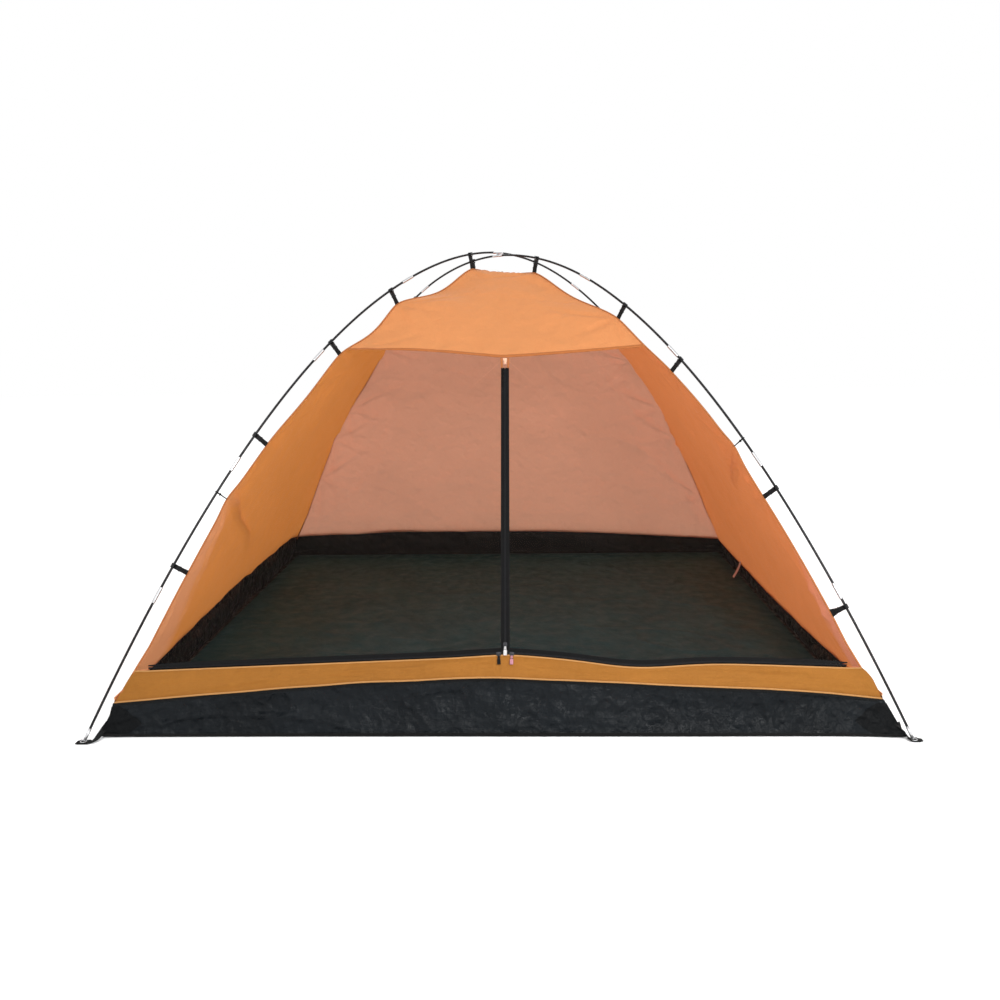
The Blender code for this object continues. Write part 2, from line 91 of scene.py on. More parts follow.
def share_at_section(sections):
    s = np.linspace(0, 1, 4001)
    run = pole_run(s)
    return float(np.interp(sections * 2 * run[-1] / SECTIONS, run, s))


def first_past(test, lo, hi):
    for _ in range(50):
        mid = (lo + hi) / 2
        if test(mid):
            hi = mid
        else:
            lo = mid
    return lo


def out_at_end(s):
    (r, _), (_, dz) = arch(s), arch_dir(s)
    return float(r + END_REACH * dz) / ROOT2


SEAM_END = first_past(lambda s: out_at_end(s) > FLOOR_HALF, 0.8, 1.0)
CAP_END = share_at_section(1.787)
CLIPS_L = tuple(share_at_section(k) for k in (0.3104, 1.1802, 1.8545, 2.7511, 3.7862))
CLIPS_R = tuple(share_at_section(k) for k in (0.4549, 1.4482, 2.0884, 3.2331, 4.1101))
SAG_L = (0.036, 0.022, 0.010, -0.004, 0.002)   # edge pulled in between clips
SAG_R = (0.028, 0.006, -0.006, 0.000, 0.002)
FRONT_LEFT, FRONT_RIGHT = (CLIPS_L, CROSS_LIFT, SAG_L, TIE_L), (CLIPS_R, -CROSS_LIFT, SAG_R, TIE_R)
REAR_LEFT, REAR_RIGHT = (CLIPS_L, -CROSS_LIFT, SAG_L, TIE_L), (CLIPS_R, CROSS_LIFT, SAG_R, TIE_R)
PAIRS = {"front": (FRONT_LEFT, FRONT_RIGHT), "back": (REAR_RIGHT, REAR_LEFT),
         "left": (REAR_LEFT, FRONT_LEFT), "right": (FRONT_RIGHT, REAR_RIGHT)}
CORNERS = (("front_left", FRONT_LEFT, -1, -1), ("front_right", FRONT_RIGHT, 1, -1),
           ("rear_left", REAR_LEFT, -1, 1), ("rear_right", REAR_RIGHT, 1, 1))
HANDS = (("left", -1), ("right", 1))
# height of the groundsheet's wall from one end of each side to the other
TUB_TOPS = {
    "front": ((-1, 0.082), (-0.77, 0.104), (-0.38, 0.135), (0, 0.150), (0.27, 0.135), (0.53, 0.121),
              (0.79, 0.110), (1, 0.086)),
    "right": ((-1, 0.086), (-0.77, 0.070), (0, 0.046), (0.77, 0.052), (1, 0.060)),
    "back": ((-1, 0.060), (-0.44, 0.103), (-0.03, 0.115), (0.51, 0.115), (1, 0.091)),
    "left": ((-1, 0.091), (-0.87, 0.116), (-0.11, 0.136), (0.34, 0.108), (0.77, 0.084), (1, 0.082))}


# ---- smooth noise ----
def lattice(ix, iy, iz, seed):
    h = (ix * 374761393 + iy * 668265263 + iz * 1274126177 + seed * 974634777) & 0xFFFFFFFF
    h = ((h ^ (h >> 13)) * 1103515245) & 0xFFFFFFFF
    h = ((h ^ (h >> 15)) * 2654435761) & 0xFFFFFFFF
    return ((h ^ (h >> 16)) & 0xFFFF) / 65535.0


def noise(p, seed=0):
    # value noise from -1 to 1 at points p (..., 3)
    cell = np.floor(p).astype(np.int64)
    f = p - cell
    f = f * f * f * (f * (f * 6 - 15) + 10)
    out = 0.0
    for dx in (0, 1):
        for dy in (0, 1):
            for dz in (0, 1):
                w = ((f[..., 0] if dx else 1 - f[..., 0]) * (f[..., 1] if dy else 1 - f[..., 1])
                     * (f[..., 2] if dz else 1 - f[..., 2]))
                out = out + w * lattice(cell[..., 0] + dx, cell[..., 1] + dy,
                                        cell[..., 2] + dz, seed)
    return out * 2 - 1


def fbm(p, octaves=3, seed=0):
    out, amp = 0.0, 1.0
    for k in range(octaves):
        out = out + amp * noise(p * 2.03 ** k, seed + 17 * k)
        amp *= 0.5
    return out


def creases(p, seed=0, sharp=7.0):
    # thin ridges where two noises cross, from 0 to 1
    warp = np.stack([noise(p * 0.7, seed + 5), noise(p * 0.7, seed + 6), noise(p * 0.7, seed + 7)], -1)
    return np.exp(-sharp * np.abs(noise(p + 0.6 * warp, seed)))


# ---- lines of points ----
def unit(v):
    return v / np.linalg.norm(v, axis=-1, keepdims=True)


def run_of(points):
    # distance from the first point to each of the others
    return np.concatenate([[0], np.cumsum(np.linalg.norm(np.diff(points, axis=0), axis=1))])


def frames(path, side_hint):
    # tangents, side and up vectors along a path of points
    p = np.asarray(path, float)
    t = unit(np.gradient(p, axis=0))
    h = np.broadcast_to(np.asarray(side_hint, float), p.shape)
    s = unit(h - (h * t).sum(1, keepdims=True) * t)
    return t, s, np.cross(s, t)


def smooth_path(points, count, passes):
    # points spread evenly over a few given ones, then rounded off
    points = np.asarray(points, float)
    g = np.linspace(0, len(points) - 1, count)
    path = np.stack([np.interp(g, np.arange(len(points)), column) for column in points.T], -1)
    for _ in range(passes):
        path[1:-1] = (path[:-2] + 2 * path[1:-1] + path[2:]) / 4
    return path


# ---- meshes ----
def put(ob, body="tent", stands_for=None):
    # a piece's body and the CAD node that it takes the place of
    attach(ob, body)
    if stands_for:
        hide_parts(stands_for)
    return ob


def piece(name, verts, faces, mats, smooth=True, uv=None):
    mesh = bpy.data.meshes.new(name)
    mesh.from_pydata([tuple(v) for v in verts], [], [tuple(int(i) for i in f) for f in faces])
    if uv is not None:
        layer = mesh.uv_layers.new(name="UVMap")
        index = np.zeros(len(mesh.loops), np.int32)
        mesh.loops.foreach_get("vertex_index", index)
        layer.data.foreach_set("uv", np.asarray(uv, np.float32)[index].ravel())
    for m in mats if isinstance(mats, (list, tuple)) else [mats]:
        mesh.materials.append(m)
    mesh.polygons.foreach_set("use_smooth", [smooth] * len(mesh.polygons))
    ob = bpy.data.objects.new(name, mesh)
    bpy.context.scene.collection.objects.link(ob)
    return ob


def grid_faces(n, m, wrap=False, start=0):
    i, j = np.meshgrid(np.arange(n - 1), np.arange(m if wrap else m - 1), indexing="ij")
    k = (j + 1) % m
    return (np.stack([i * m + j, i * m + k, (i + 1) * m + k, (i + 1) * m + j], -1)
            .reshape(-1, 4) + start)


def grid(name, points, mat, uv=None, flip=False):
    n, m = points.shape[:2]
    faces = grid_faces(n, m)
    if flip:
        faces = faces[:, ::-1]
    return piece(name, points.reshape(-1, 3), faces, mat,
                 uv=None if uv is None else uv.reshape(-1, 2))


def tube(name, centres, sides_dir, up_dir, radii, mat, sides=16, caps=True):
    # rings round centres; radii one number a ring
    a = 2 * math.pi * (np.arange(sides) + 0.5) / sides
    c = np.asarray(centres)[:, None]
    r = np.asarray(radii, float)[:, None, None]
    ring = (np.cos(a)[None, :, None] * np.asarray(sides_dir)[:, None]
            + np.sin(a)[None, :, None] * np.asarray(up_dir)[:, None])
    pts = c + r * ring
    n = len(centres)
    faces = [tuple(f) for f in grid_faces(n, sides, wrap=True)]
    if caps:
        faces += [tuple(range(sides))[::-1], tuple((n - 1) * sides + k for k in range(sides))]
    uv = np.stack(np.broadcast_arrays(a[None, :] * 0.004, run_of(centres)[:, None]), -1).reshape(-1, 2)
    return piece(name, pts.reshape(-1, 3), faces, mat, uv=uv)


def ring_tube(name, centre, first, second, hint, radius, mat, count, sides=10):
    # closed round-section ring through centre + first cos a + second sin a
    a = np.linspace(0, 2 * math.pi, count)[:, None]
    ring = np.asarray(centre) + np.cos(a) * np.asarray(first) + np.sin(a) * np.asarray(second)
    _, side, up = frames(ring, hint)
    return tube(name, ring, side, up, np.full(count, radius), mat, sides, caps=False)


def ribbon(name, path, side, normal, width, thick, mat, crown=0.0, across=6):
    # flat tape along a path, thinner at its edges: side and normal are one vector or one a point
    p, s, nrm = (np.asarray(v, float) for v in (path, side, normal))
    w = np.broadcast_to(np.asarray(width, float), (len(p),))[:, None] / 2
    outline = [(face * (2 * k / across - 1), face) for face in (1, -1) for k in range(across + 1)]
    pts = np.stack([p + s * w * x + nrm * (face * (0.55 if abs(x) == 1 else 1.0) * thick / 2 + crown * (1 - x * x))
                    for x, face in outline], 1)
    n, m = pts.shape[:2]
    faces = [tuple(f) for f in grid_faces(n, m, wrap=True)]
    faces += [tuple(range(m)), tuple((n - 1) * m + k for k in range(m))[::-1]]
    x = np.array([o[0] for o in outline])
    uv = np.stack(np.broadcast_arrays(x[None, :] * w, run_of(p)[:, None]), -1).reshape(-1, 2)
    return piece(name, pts.reshape(-1, 3), faces, mat, uv=uv)


def prism(name, outline, depth, mat, round_by=0.0004):
    # an outline pushed through by depth, with rounded edges
    n = len(outline)
    pts = [Vector(p) for p in outline]
    verts = pts + [p + Vector(depth) for p in pts]
    faces = [tuple(range(n)), tuple(range(2 * n - 1, n - 1, -1))]
    faces += [(i, n + i, n + (i + 1) % n, (i + 1) % n) for i in range(n)]
    ob = piece(name, verts, faces, mat, smooth=False)
    m = ob.modifiers.new("edge", "BEVEL")
    m.width, m.segments, m.limit_method, m.angle_limit = round_by, 2, "ANGLE", math.radians(35)
    return ob


def many(name, boxes, mat):
    # boxes: (centre, half-length vector, half-width vector, half-height vector)
    corners = np.array([(-1, -1, -1), (1, -1, -1), (1, 1, -1), (-1, 1, -1),
                        (-0.8, -0.7, 1), (0.8, -0.7, 1), (0.8, 0.7, 1), (-0.8, 0.7, 1)], float)
    quads = np.array([(0, 3, 2, 1), (4, 5, 6, 7), (0, 1, 5, 4), (1, 2, 6, 5), (2, 3, 7, 6), (3, 0, 4, 7)])
    b = np.asarray(boxes, float)
    pts = b[:, None, 0] + np.einsum("kc,bcd->bkd", corners, b[:, 1:])
    faces = (quads[None] + 8 * np.arange(len(b))[:, None, None]).reshape(-1, 4)
    return piece(name, pts.reshape(-1, 3), faces, mat, smooth=False)


# ---- materials ----
class Nodes:
    def __init__(self, name):
        self.mat = bpy.data.materials.new(name)
        self.mat.use_nodes = True
        self.tree = self.mat.node_tree
        self.shader = self.tree.nodes["Principled BSDF"]
        self.out = self.tree.nodes["Material Output"]

    def add(self, kind, ins=None, **props):
        node = self.tree.nodes.new(kind)
        for key, value in props.items():
            setattr(node, key, value)
        for key, value in (ins or {}).items():
            self.put(node.inputs[key], value)
        return node

    def put(self, socket, value):
        if isinstance(value, bpy.types.NodeSocket):
            self.tree.links.new(value, socket)
        else:
            socket.default_value = value

    def coords(self, kind="Object", scale=(1, 1, 1)):
        c = self.add("ShaderNodeTexCoord")
        return self.add("ShaderNodeMapping", {"Vector": c.outputs[kind], "Scale": scale}).outputs[0]

    def noise(self, scale, detail=3.0, rough=0.55, kind="Object", stretch=(1, 1, 1), distort=0.0):
        return self.add("ShaderNodeTexNoise", {
            "Vector": self.coords(kind, stretch), "Scale": scale, "Detail": detail,
            "Roughness": rough, "Distortion": distort}).outputs["Fac"]

    def math(self, op, a, b=0.0, c=None, clamp=False):
        node = self.add("ShaderNodeMath", operation=op, use_clamp=clamp)
        self.put(node.inputs[0], a)
        self.put(node.inputs[1], b)
        if c is not None:
            self.put(node.inputs[2], c)
        return node.outputs[0]

    def ramp(self, fac, stops, colour=True):
        node = self.add("ShaderNodeValToRGB", {"Fac": fac})
        el = node.color_ramp.elements
        while len(el) < len(stops):
            el.new(0.5)
        for e, (at, value) in zip(el, stops):
            e.position = at
            e.color = (*value, 1) if colour else (value, value, value, 1)
        return node.outputs["Color"]

    def tones(self, fac, colour, low, high, dark, light):
        # from a darker to a lighter shade of one colour
        return self.ramp(fac, [(low, shade(colour, dark)), (high, shade(colour, light))])

    def blend(self, fac, first, colour):
        node = self.add("ShaderNodeMix", data_type="RGBA")
        self.put(node.inputs[0], fac)
        self.put(node.inputs[6], first)
        node.inputs[7].default_value = (*colour, 1)
        return node.outputs[2]

    def bump(self, *layers):
        # relief in layers, each a height and its distance in metres
        normal = {}
        for height, distance in layers:
            ins = {"Height": height, "Distance": distance, "Strength": 1.0, **normal}
            normal = {"Normal": self.add("ShaderNodeBump", ins).outputs["Normal"]}
        return normal["Normal"]

    def cells(self, scale, detail, rough, feature):
        return self.add("ShaderNodeTexVoronoi", {"Vector": self.coords(), "Scale": scale, "Detail": detail,
                                                 "Roughness": rough}, feature=feature).outputs["Distance"]

    def mix_shaders(self, share, first, second):
        mix = self.add("ShaderNodeMixShader", {0: share, 1: first.outputs[0], 2: second.outputs[0]})
        self.tree.links.new(mix.outputs[0], self.out.inputs["Surface"])

    def wave(self, scale, axis="X", kind="UV", profile="SIN"):
        return self.add("ShaderNodeTexWave", {"Vector": self.coords(kind), "Scale": scale},
                        bands_direction=axis, wave_profile=profile).outputs["Fac"]

    def set(self, **ins):
        for key, value in ins.items():
            self.put(self.shader.inputs[key.replace("_", " ")], value)
        return self


def shade(colour, k):
    return tuple(min(1.0, c * k) for c in colour)


def cloth(name, colour, rough=0.70, through=0.42, crumple=1.0, tint=None, spread=0.06, edge=None):
    # thin coated polyester: weave streaks, crumple, light coming through
    n = Nodes(name)
    warp = n.noise(1.0, 2.0, kind="UV", stretch=(900, 26, 1))
    weft = n.noise(1.0, 2.0, kind="UV", stretch=(26, 900, 1))
    patch = n.noise(5.0, 4.0, 0.6)
    mixed = n.math("MULTIPLY_ADD", n.math("ADD", warp, weft), 0.28, n.math("MULTIPLY", patch, 0.5))
    base, lit = (n.tones(mixed, c, 0.30, 0.78, 1 - spread, 1 + spread) for c in (colour, tint or colour))
    if edge:
        # painted light: paler where the cloth folds towards the door, the lit face of the fold painted into the
        # colour: past a line at y, below a height
        at_y, below, fold_light_colour = edge
        axes = n.add("ShaderNodeSeparateXYZ", {"Vector": n.coords()})
        line = n.math("MULTIPLY_ADD", n.noise(4.0, 2.0), -0.10, at_y + 0.05)
        past = n.math("DIVIDE", n.math("SUBTRACT", line, axes.outputs["Y"]), 0.080, clamp=True)
        low = n.math("DIVIDE", n.math("SUBTRACT", below, axes.outputs["Z"]), 0.16, clamp=True)
        fold_light_mask = n.math("MULTIPLY", past, low)
        base, lit = n.blend(fold_light_mask, base, fold_light_colour), n.blend(fold_light_mask, lit, fold_light_colour)
    normal = n.bump((n.cells(17.0, 1.5, 0.5, "SMOOTH_F1"), 0.005 * crumple),
                    (n.noise(46.0, 3.0, 0.6, distort=0.7), 0.0018 * crumple),
                    (n.math("ADD", warp, weft), 0.0004))
    n.set(Base_Color=base, Roughness=rough, Normal=normal, Sheen_Weight=0.04,
          Sheen_Roughness=0.45, Specular_IOR_Level=0.18)
    glow = n.add("ShaderNodeBsdfTranslucent", {"Color": lit, "Normal": normal})
    n.mix_shaders(through, n.shader, glow)
    return n.mat


def netting(name, colour, open_share=0.80):
    # fine knitted mesh: mostly holes, threads in two directions
    n = Nodes(name)
    thread = n.math("MAXIMUM", *(n.math("POWER", n.wave(260.0, axis), 6.0) for axis in "XY"))
    cover = n.math("MULTIPLY_ADD", thread, 0.12, n.math("MULTIPLY_ADD", n.noise(7.0, 3.0), 0.05,
                                                        1 - open_share - 0.07))
    n.set(Base_Color=(*colour, 1), Roughness=0.9, Specular_IOR_Level=0.05,
          Normal=n.bump((n.noise(30.0, 2.0), 0.002)))
    n.mix_shaders(cover, n.add("ShaderNodeBsdfTransparent"), n.shader)
    return n.mat


def tarp(name, colour, rough=0.40, crumple=1.0, spread=0.35, gloss_level=0.22, painted_shade=None):
    # coated woven sheet with crinkles that catch the light
    n = Nodes(name)
    tapes = n.math("ADD", n.wave(95.0, "X"), n.wave(95.0, "Y"))
    patch = n.noise(4.5, 5.0, 0.62)
    base = n.tones(patch, colour, 0.30, 0.72, 1 - spread, 1 + spread)
    if painted_shade:
        # painted shade: darker towards the door, where less light reaches the floor
        first, last, dark = painted_shade
        y = n.add("ShaderNodeSeparateXYZ", {"Vector": n.coords()}).outputs["Y"]
        share = n.add("ShaderNodeMapRange", {"Value": y, "From Min": first, "From Max": last,
                                             "To Min": 1.0, "To Max": 0.0}).outputs["Result"]
        base = n.blend(share, base, shade(colour, dark))
    normal = n.bump((n.cells(13.0, 2.0, 0.55, "F1"), 0.012 * crumple),
                    (n.noise(38.0, 4.0, 0.65, distort=1.2), 0.0045 * crumple), (tapes, 0.00012))
    gloss = n.ramp(n.noise(21.0, 3.0), [(0.35, rough - 0.08), (0.70, rough + 0.16)], colour=False)
    n.set(Base_Color=base, Roughness=gloss, Normal=normal, Specular_IOR_Level=gloss_level)
    return n.mat


def webbing(name, colour, rough=0.85, pitch=420.0):
    # woven nylon tape: ribs across, herringbone along
    n = Nodes(name)
    ribs = n.math("MULTIPLY_ADD", n.wave(pitch, "Y"), 0.6, n.math("MULTIPLY", n.wave(pitch * 1.6, "X"), 0.4))
    n.set(Base_Color=n.tones(ribs, colour, 0.2, 0.85, 0.65, 1.35), Roughness=rough,
          Normal=n.bump((ribs, 0.0007)), Sheen_Weight=0.04, Specular_IOR_Level=0.10)
    return n.mat


def plastic(name, colour, rough=0.45, speck=900.0):
    n = Nodes(name)
    grain = n.noise(speck, 2.0)
    n.set(Base_Color=n.tones(n.noise(30.0, 2.0), colour, 0.3, 0.7, 0.85, 1.15),
          Roughness=n.ramp(grain, [(0.3, rough - 0.07), (0.7, rough + 0.08)], colour=False),
          Normal=n.bump((grain, 0.0002)), Specular_IOR_Level=0.22)
    return n.mat


def fibreglass(name, colour):
    # smooth pultruded rod with faint fibres running along it
    n = Nodes(name)
    fibre = n.noise(1.0, 2.0, kind="UV", stretch=(2600, 18, 1))
    n.set(Base_Color=n.tones(fibre, colour, 0.3, 0.7, 0.7, 1.4),
          Roughness=0.34, Normal=n.bump((fibre, 0.0001)), Specular_IOR_Level=0.18, Coat_Weight=0.05,
          Coat_Roughness=0.2)
    return n.mat


def metal(name, colour, rough=0.28, brush=(30, 2200, 1)):
    n = Nodes(name)
    line = n.noise(1.0, 3.0, kind="UV", stretch=brush)
    n.set(Base_Color=n.tones(n.noise(60.0, 3.0), colour, 0.3, 0.7, 0.85, 1.05),
          Metallic=1.0, Roughness=n.ramp(line, [(0.3, rough - 0.06), (0.7, rough + 0.10)], colour=False),
          Normal=n.bump((line, 0.00006)))
    return n.mat


# painted light: the one orange taffeta in lit and shaded copies, one colour for each panel (left wall, back wall,
# cap, right wall, sill) for the light that falls on it or through it
# the edge colours of the left and right walls are painted light on the fold towards the door
ORANGE = cloth("orange_taffeta", (0.78, 0.285, 0.085), tint=(0.90, 0.320, 0.060),
               edge=(-0.66, 0.66, (0.88, 0.365, 0.160)))
ORANGE_BACK = cloth("orange_taffeta_back", (0.72, 0.310, 0.190), tint=(0.80, 0.400, 0.260), crumple=1.8)
ORANGE_CAP = cloth("orange_taffeta_cap", (0.74, 0.322, 0.124), tint=(0.86, 0.365, 0.096))
ORANGE_RIGHT = cloth("orange_taffeta_right", (0.84, 0.265, 0.115), tint=(0.95, 0.300, 0.085),
                     edge=(-0.78, 0.56, (0.93, 0.335, 0.190)))
ORANGE_SILL = cloth("orange_sill", (0.282, 0.109, 0.015), through=0.10, crumple=1.6, spread=0.16)
BINDING = cloth("seam_binding", (0.36, 0.120, 0.035), through=0.05, crumple=0.4)
HEM = cloth("cap_hem", (0.36, 0.115, 0.03), through=0.05, crumple=0.4)
SILL_EDGE = cloth("sill_edge", (0.39, 0.190, 0.062), through=0.05, crumple=0.4)
WALL_HEM = cloth("wall_hem", (0.74, 0.33, 0.13), through=0.15, crumple=0.4)
PATCH = cloth("zip_patch", (0.72, 0.40, 0.27), through=0.05, crumple=0.3)
NET = netting("door_net", (0.020, 0.015, 0.012))
TUB = tarp("bathtub_tarp", (0.0044, 0.0060, 0.0076), rough=0.33, gloss_level=0.11)
PATCH_BLACK = tarp("corner_patch_tarp", (0.003, 0.0035, 0.004), gloss_level=0.07)
# the floor's colour carries painted shade, darker towards the door
FLOOR = tarp("floor_tarp", (0.0125, 0.0500, 0.0590), rough=0.55, crumple=0.22, spread=0.22, gloss_level=0.10,
             painted_shade=(-0.95, -0.35, 0.45))
TUB_HEM = webbing("tub_binding", (0.004, 0.004, 0.004))
TAPE = webbing("zip_tape", (0.004, 0.004, 0.0045), pitch=600.0)
TEETH = plastic("zip_teeth", (0.004, 0.004, 0.005), 0.60)
STRAP = webbing("strap_webbing", (0.007, 0.007, 0.007))
THREAD = plastic("stitch_thread", (0.012, 0.012, 0.011), 0.7)
POLE = fibreglass("fibreglass_pole", (0.008, 0.008, 0.009))
STEEL = metal("ferrule_steel", (0.62, 0.62, 0.63))
CLIP = plastic("clip_plastic", (0.006, 0.006, 0.007))
SLIDER = metal("slider_metal", (0.055, 0.055, 0.06), 0.32, (200, 200, 1))
PULL_WHITE = webbing("pull_white", (0.80, 0.74, 0.74), pitch=500.0)
PULL_PINK = webbing("pull_pink", (0.58, 0.26, 0.32), pitch=500.0)
PULL_BLACK = webbing("pull_black", (0.006, 0.006, 0.006), pitch=500.0)
LABEL = cloth("care_label", (0.78, 0.52, 0.48), through=0.1, crumple=0.3)
CORD_WHITE = webbing("tie_white", (0.80, 0.74, 0.72), pitch=900.0)


# ---- the sewn lines, as in the CAD ----
def reach_of(s, corner, sag=1.0):
    clips, lift, depths, tie = corner
    s = np.asarray(s, float)
    reach = np.full(s.shape, CLIP_REACH)
    stops = clips + (SEAM_END,)
    for (a, b), depth in zip(zip(stops[:-1], stops[1:]), depths):
        inside = (s >= a) & (s <= b)
        k = np.sin(math.pi * np.clip((s - a) / (b - a), 0, 1))
        reach = reach + np.where(inside, sag * depth * k ** 1.5, 0.0)
    reach = reach - sag * 0.007 * np.exp(-((s - tie) / 0.020) ** 2)
    first = clips[0]
    reach = reach + np.where(s < first, (0.018 + 0.010 * sag) * (1 - s / first), 0.0)
    return reach - np.where(s > TUCK_FROM, (CLIP_REACH - END_REACH) * (s - TUCK_FROM) / (SEAM_END - TUCK_FROM), 0.0)


def curve(points, x):
    # a smooth line through a few points on -1 to 1
    at, value = zip(*points)
    fine = np.linspace(-1, 1, 401)
    y = np.interp(fine, at, value)
    for _ in range(160):
        y[1:-1] = (y[:-2] + 2 * y[1:-1] + y[2:]) / 4
    return np.interp(x, fine, y)


def seam(s, corner, sag=1.0):
    lift = corner[1]
    r, z = arch(s, lift)
    dr, dz = arch_dir(s, lift)
    reach = reach_of(s, corner, sag)
    return (r + reach * dz) / ROOT2, z - reach * dr


def seam_normal(s, corner):
    # of the unscalloped line, in the (out, up) plane of a side
    e = 2e-3
    u0, z0 = seam(np.maximum(s - e, 1e-3), corner, 0.0)
    u1, z1 = seam(s + e, corner, 0.0)
    d = np.hypot(u1 - u0, z1 - z0)
    return -(z1 - z0) / d, (u1 - u0) / d


def to_world(side, u, v, z):
    # out of a side by u, along it by v, up by z
    u, v, z = np.broadcast_arrays(u, v, z)
    x, y = {"front": (v, -u), "right": (u, v), "back": (-v, u), "left": (-u, -v)}[side]
    return np.stack([x, y, z], -1)


def tub_top(side, t):
    return curve(TUB_TOPS[side], t)


def normals_of(p):
    a, b = np.gradient(p, axis=0), np.gradient(p, axis=1)
    n = np.cross(a, b)
    return n / np.maximum(np.linalg.norm(n, axis=2, keepdims=True), 1e-12)


def distances(p):
    # run along both directions of a grid, in metres, for the weave
    du = np.linalg.norm(np.diff(p, axis=1), axis=2)
    dv = np.linalg.norm(np.diff(p, axis=0), axis=2)
    u = np.concatenate([np.zeros((p.shape[0], 1)), np.cumsum(du, 1)], 1)
    v = np.concatenate([np.zeros((1, p.shape[1])), np.cumsum(dv, 0)], 0)
    return np.stack([u - u[:, -1:] / 2, v], -1)


def fans(s, d, clips, seed, length=0.20):
    # creases that spread into the cloth from each clip; d is the distance from the sewn line
    run = s * 2.0
    out = 0.0
    for k, c in enumerate(clips):
        for i, angle in enumerate((-0.95, -0.45, 0.10, 0.60, 1.05)):
            wob = math.sin(12.9898 * (k + 1) + 78.233 * (i + 1) + seed)
            th = angle + 0.18 * wob
            a = run - c * 2.0
            along = a * math.sin(th) + d * math.cos(th)
            off = a * math.cos(th) - d * math.sin(th)
            reach = length * (1.0 + 0.35 * wob)
            wide = 0.006 + 0.05 * np.clip(along, 0, reach)
            body = np.exp(-(off / wide) ** 2) * np.clip(along / 0.02, 0, 1) * np.clip(1 - along / reach, 0, 1)
            out = out + (1 if i % 2 else -1) * (0.7 + 0.3 * wob) * body
    return out


# pleats that run from the elastic ties and along the front edge: depth, then (y, z) points
PLEATS = {"left": ((0.015, ((-0.75, 0.61), (-0.58, 0.50), (-0.32, 0.39), (-0.10, 0.25))),
                   (0.007, ((-0.73, 0.58), (-0.70, 0.40), (-0.67, 0.25), (-0.76, 0.14)))),
          "right": ((0.015, ((-0.69, 0.72), (-0.64, 0.66), (-0.50, 0.59), (-0.42, 0.54))),
                    (0.007, ((-0.78, 0.55), (-0.82, 0.34), (-0.88, 0.16))))}


def pleat(y, z, line):
    near, share = np.full(np.shape(y), 9.0), 0.0
    for k, ((ay, az), (by, bz)) in enumerate(zip(line[:-1], line[1:])):
        dy, dz = by - ay, bz - az
        f = np.clip(((y - ay) * dy + (z - az) * dz) / (dy * dy + dz * dz), 0, 1)
        d = np.hypot(y - ay - f * dy, z - az - f * dz)
        share = np.where(d < near, (k + f) / (len(line) - 1), share)
        near = np.minimum(near, d)
    return (np.exp(-(near / 0.0065) ** 2) - 0.30 * np.exp(-((near - 0.019) / 0.009) ** 2)) * (1 - share ** 3)


def wall_points(side, s, t, low=None, bow=0.030, folds=1.0, seed=0):
    s, t = np.asarray(s)[:, None], np.asarray(t)[None, :]
    pair = PAIRS[side]
    f = (t + 1) / 2
    ends = [(*seam(s, c, 0.0), *seam_normal(s, c)) for c in pair]
    u, z, nu, nz = (ends[0][k] * (1 - f) + ends[1][k] * f for k in range(4))
    edge = np.where(t < 0, ends[0][0], ends[1][0])
    inset = (1 - np.abs(t)) * edge
    dip = bow * (1 - t * t) * np.sin(math.pi * s / SEAM_END)
    u, z = u - dip * nu, z - dip * nz
    # scallops run into the cloth and fade
    for end, c in enumerate(pair):
        (su, sz), (bu, bz) = seam(s, c, 1.0), seam(s, c, 0.0)
        gap = (1 + t if end == 0 else 1 - t) * edge
        w = np.exp(-(gap / 0.13) ** 1.4)
        u, z = u + (su - bu) * w, z + (sz - bz) * w
        edge = edge + (su - bu) * w * np.where((t < 0) == (end == 0), 1, 0)
    aside = 0.0
    if low is not None:
        u, z, aside = low(s, t, u, z)
    else:
        fade = np.clip((s - TUCK_FROM) / (SEAM_END - TUCK_FROM), 0, 1) ** 2
        z = z + (tub_top(side, t) - z) * fade
        u = u + (FLOOR_HALF - u) * fade
        edge = edge + (FLOOR_HALF - edge) * fade
    p = to_world(side, u, t * edge + aside, z)
    if folds:
        n = normals_of(p)
        hold = (np.clip(inset / 0.05, 0, 1) * np.clip((SEAM_END - s) / 0.02, 0, 1)
                * np.clip(s / 0.03, 0, 1))
        if low is not None:
            hold = hold * np.clip((CAP_END - s) / 0.03, 0.15, 1)
        lines = [fans(s, (1 + t) * edge, pair[0][0] + (pair[0][3],), seed + 1),
                 fans(s, (1 - t) * edge, pair[1][0] + (pair[1][3],), seed + 2)]
        soft = fbm(p * np.array([5.5, 5.5, 4.0]), 3, seed + 11)
        sharp = creases(p * 3.2, seed + 23, 16.0) - 0.5 * creases(p * 6.5, seed + 31, 12.0)
        packed = creases((p + p[..., ::-1]) * np.array([2.1, 2.1, 2.6]), seed + 37, 26.0)
        disp = (0.0090 * (lines[0] + lines[1]) + 0.0050 * soft + 0.0030 * sharp - 0.0030 * packed) * folds
        for depth, line in PLEATS.get(side, ()):
            disp = disp - depth * pleat(p[..., 1], p[..., 2], line)
        disp = disp * hold
        p = p + n * disp[..., None]
    return p


def oriented(p, side):
    # faces point out of the tent
    n = normals_of(p)[p.shape[0] // 2, p.shape[1] // 2]
    out = {"front": (0, -1, 0.3), "back": (0, 1, 0.3), "left": (-1, 0, 0.3), "right": (1, 0, 0.3)}[side]
    return float(np.dot(n, out)) < 0


# ---- zip teeth and stitches ----
def resample(line, step):
    run = run_of(line)
    at = np.arange(0, run[-1], step)
    return at, run, lambda a: np.stack([np.interp(a, run, line[:, c]) for c in range(3)], -1)


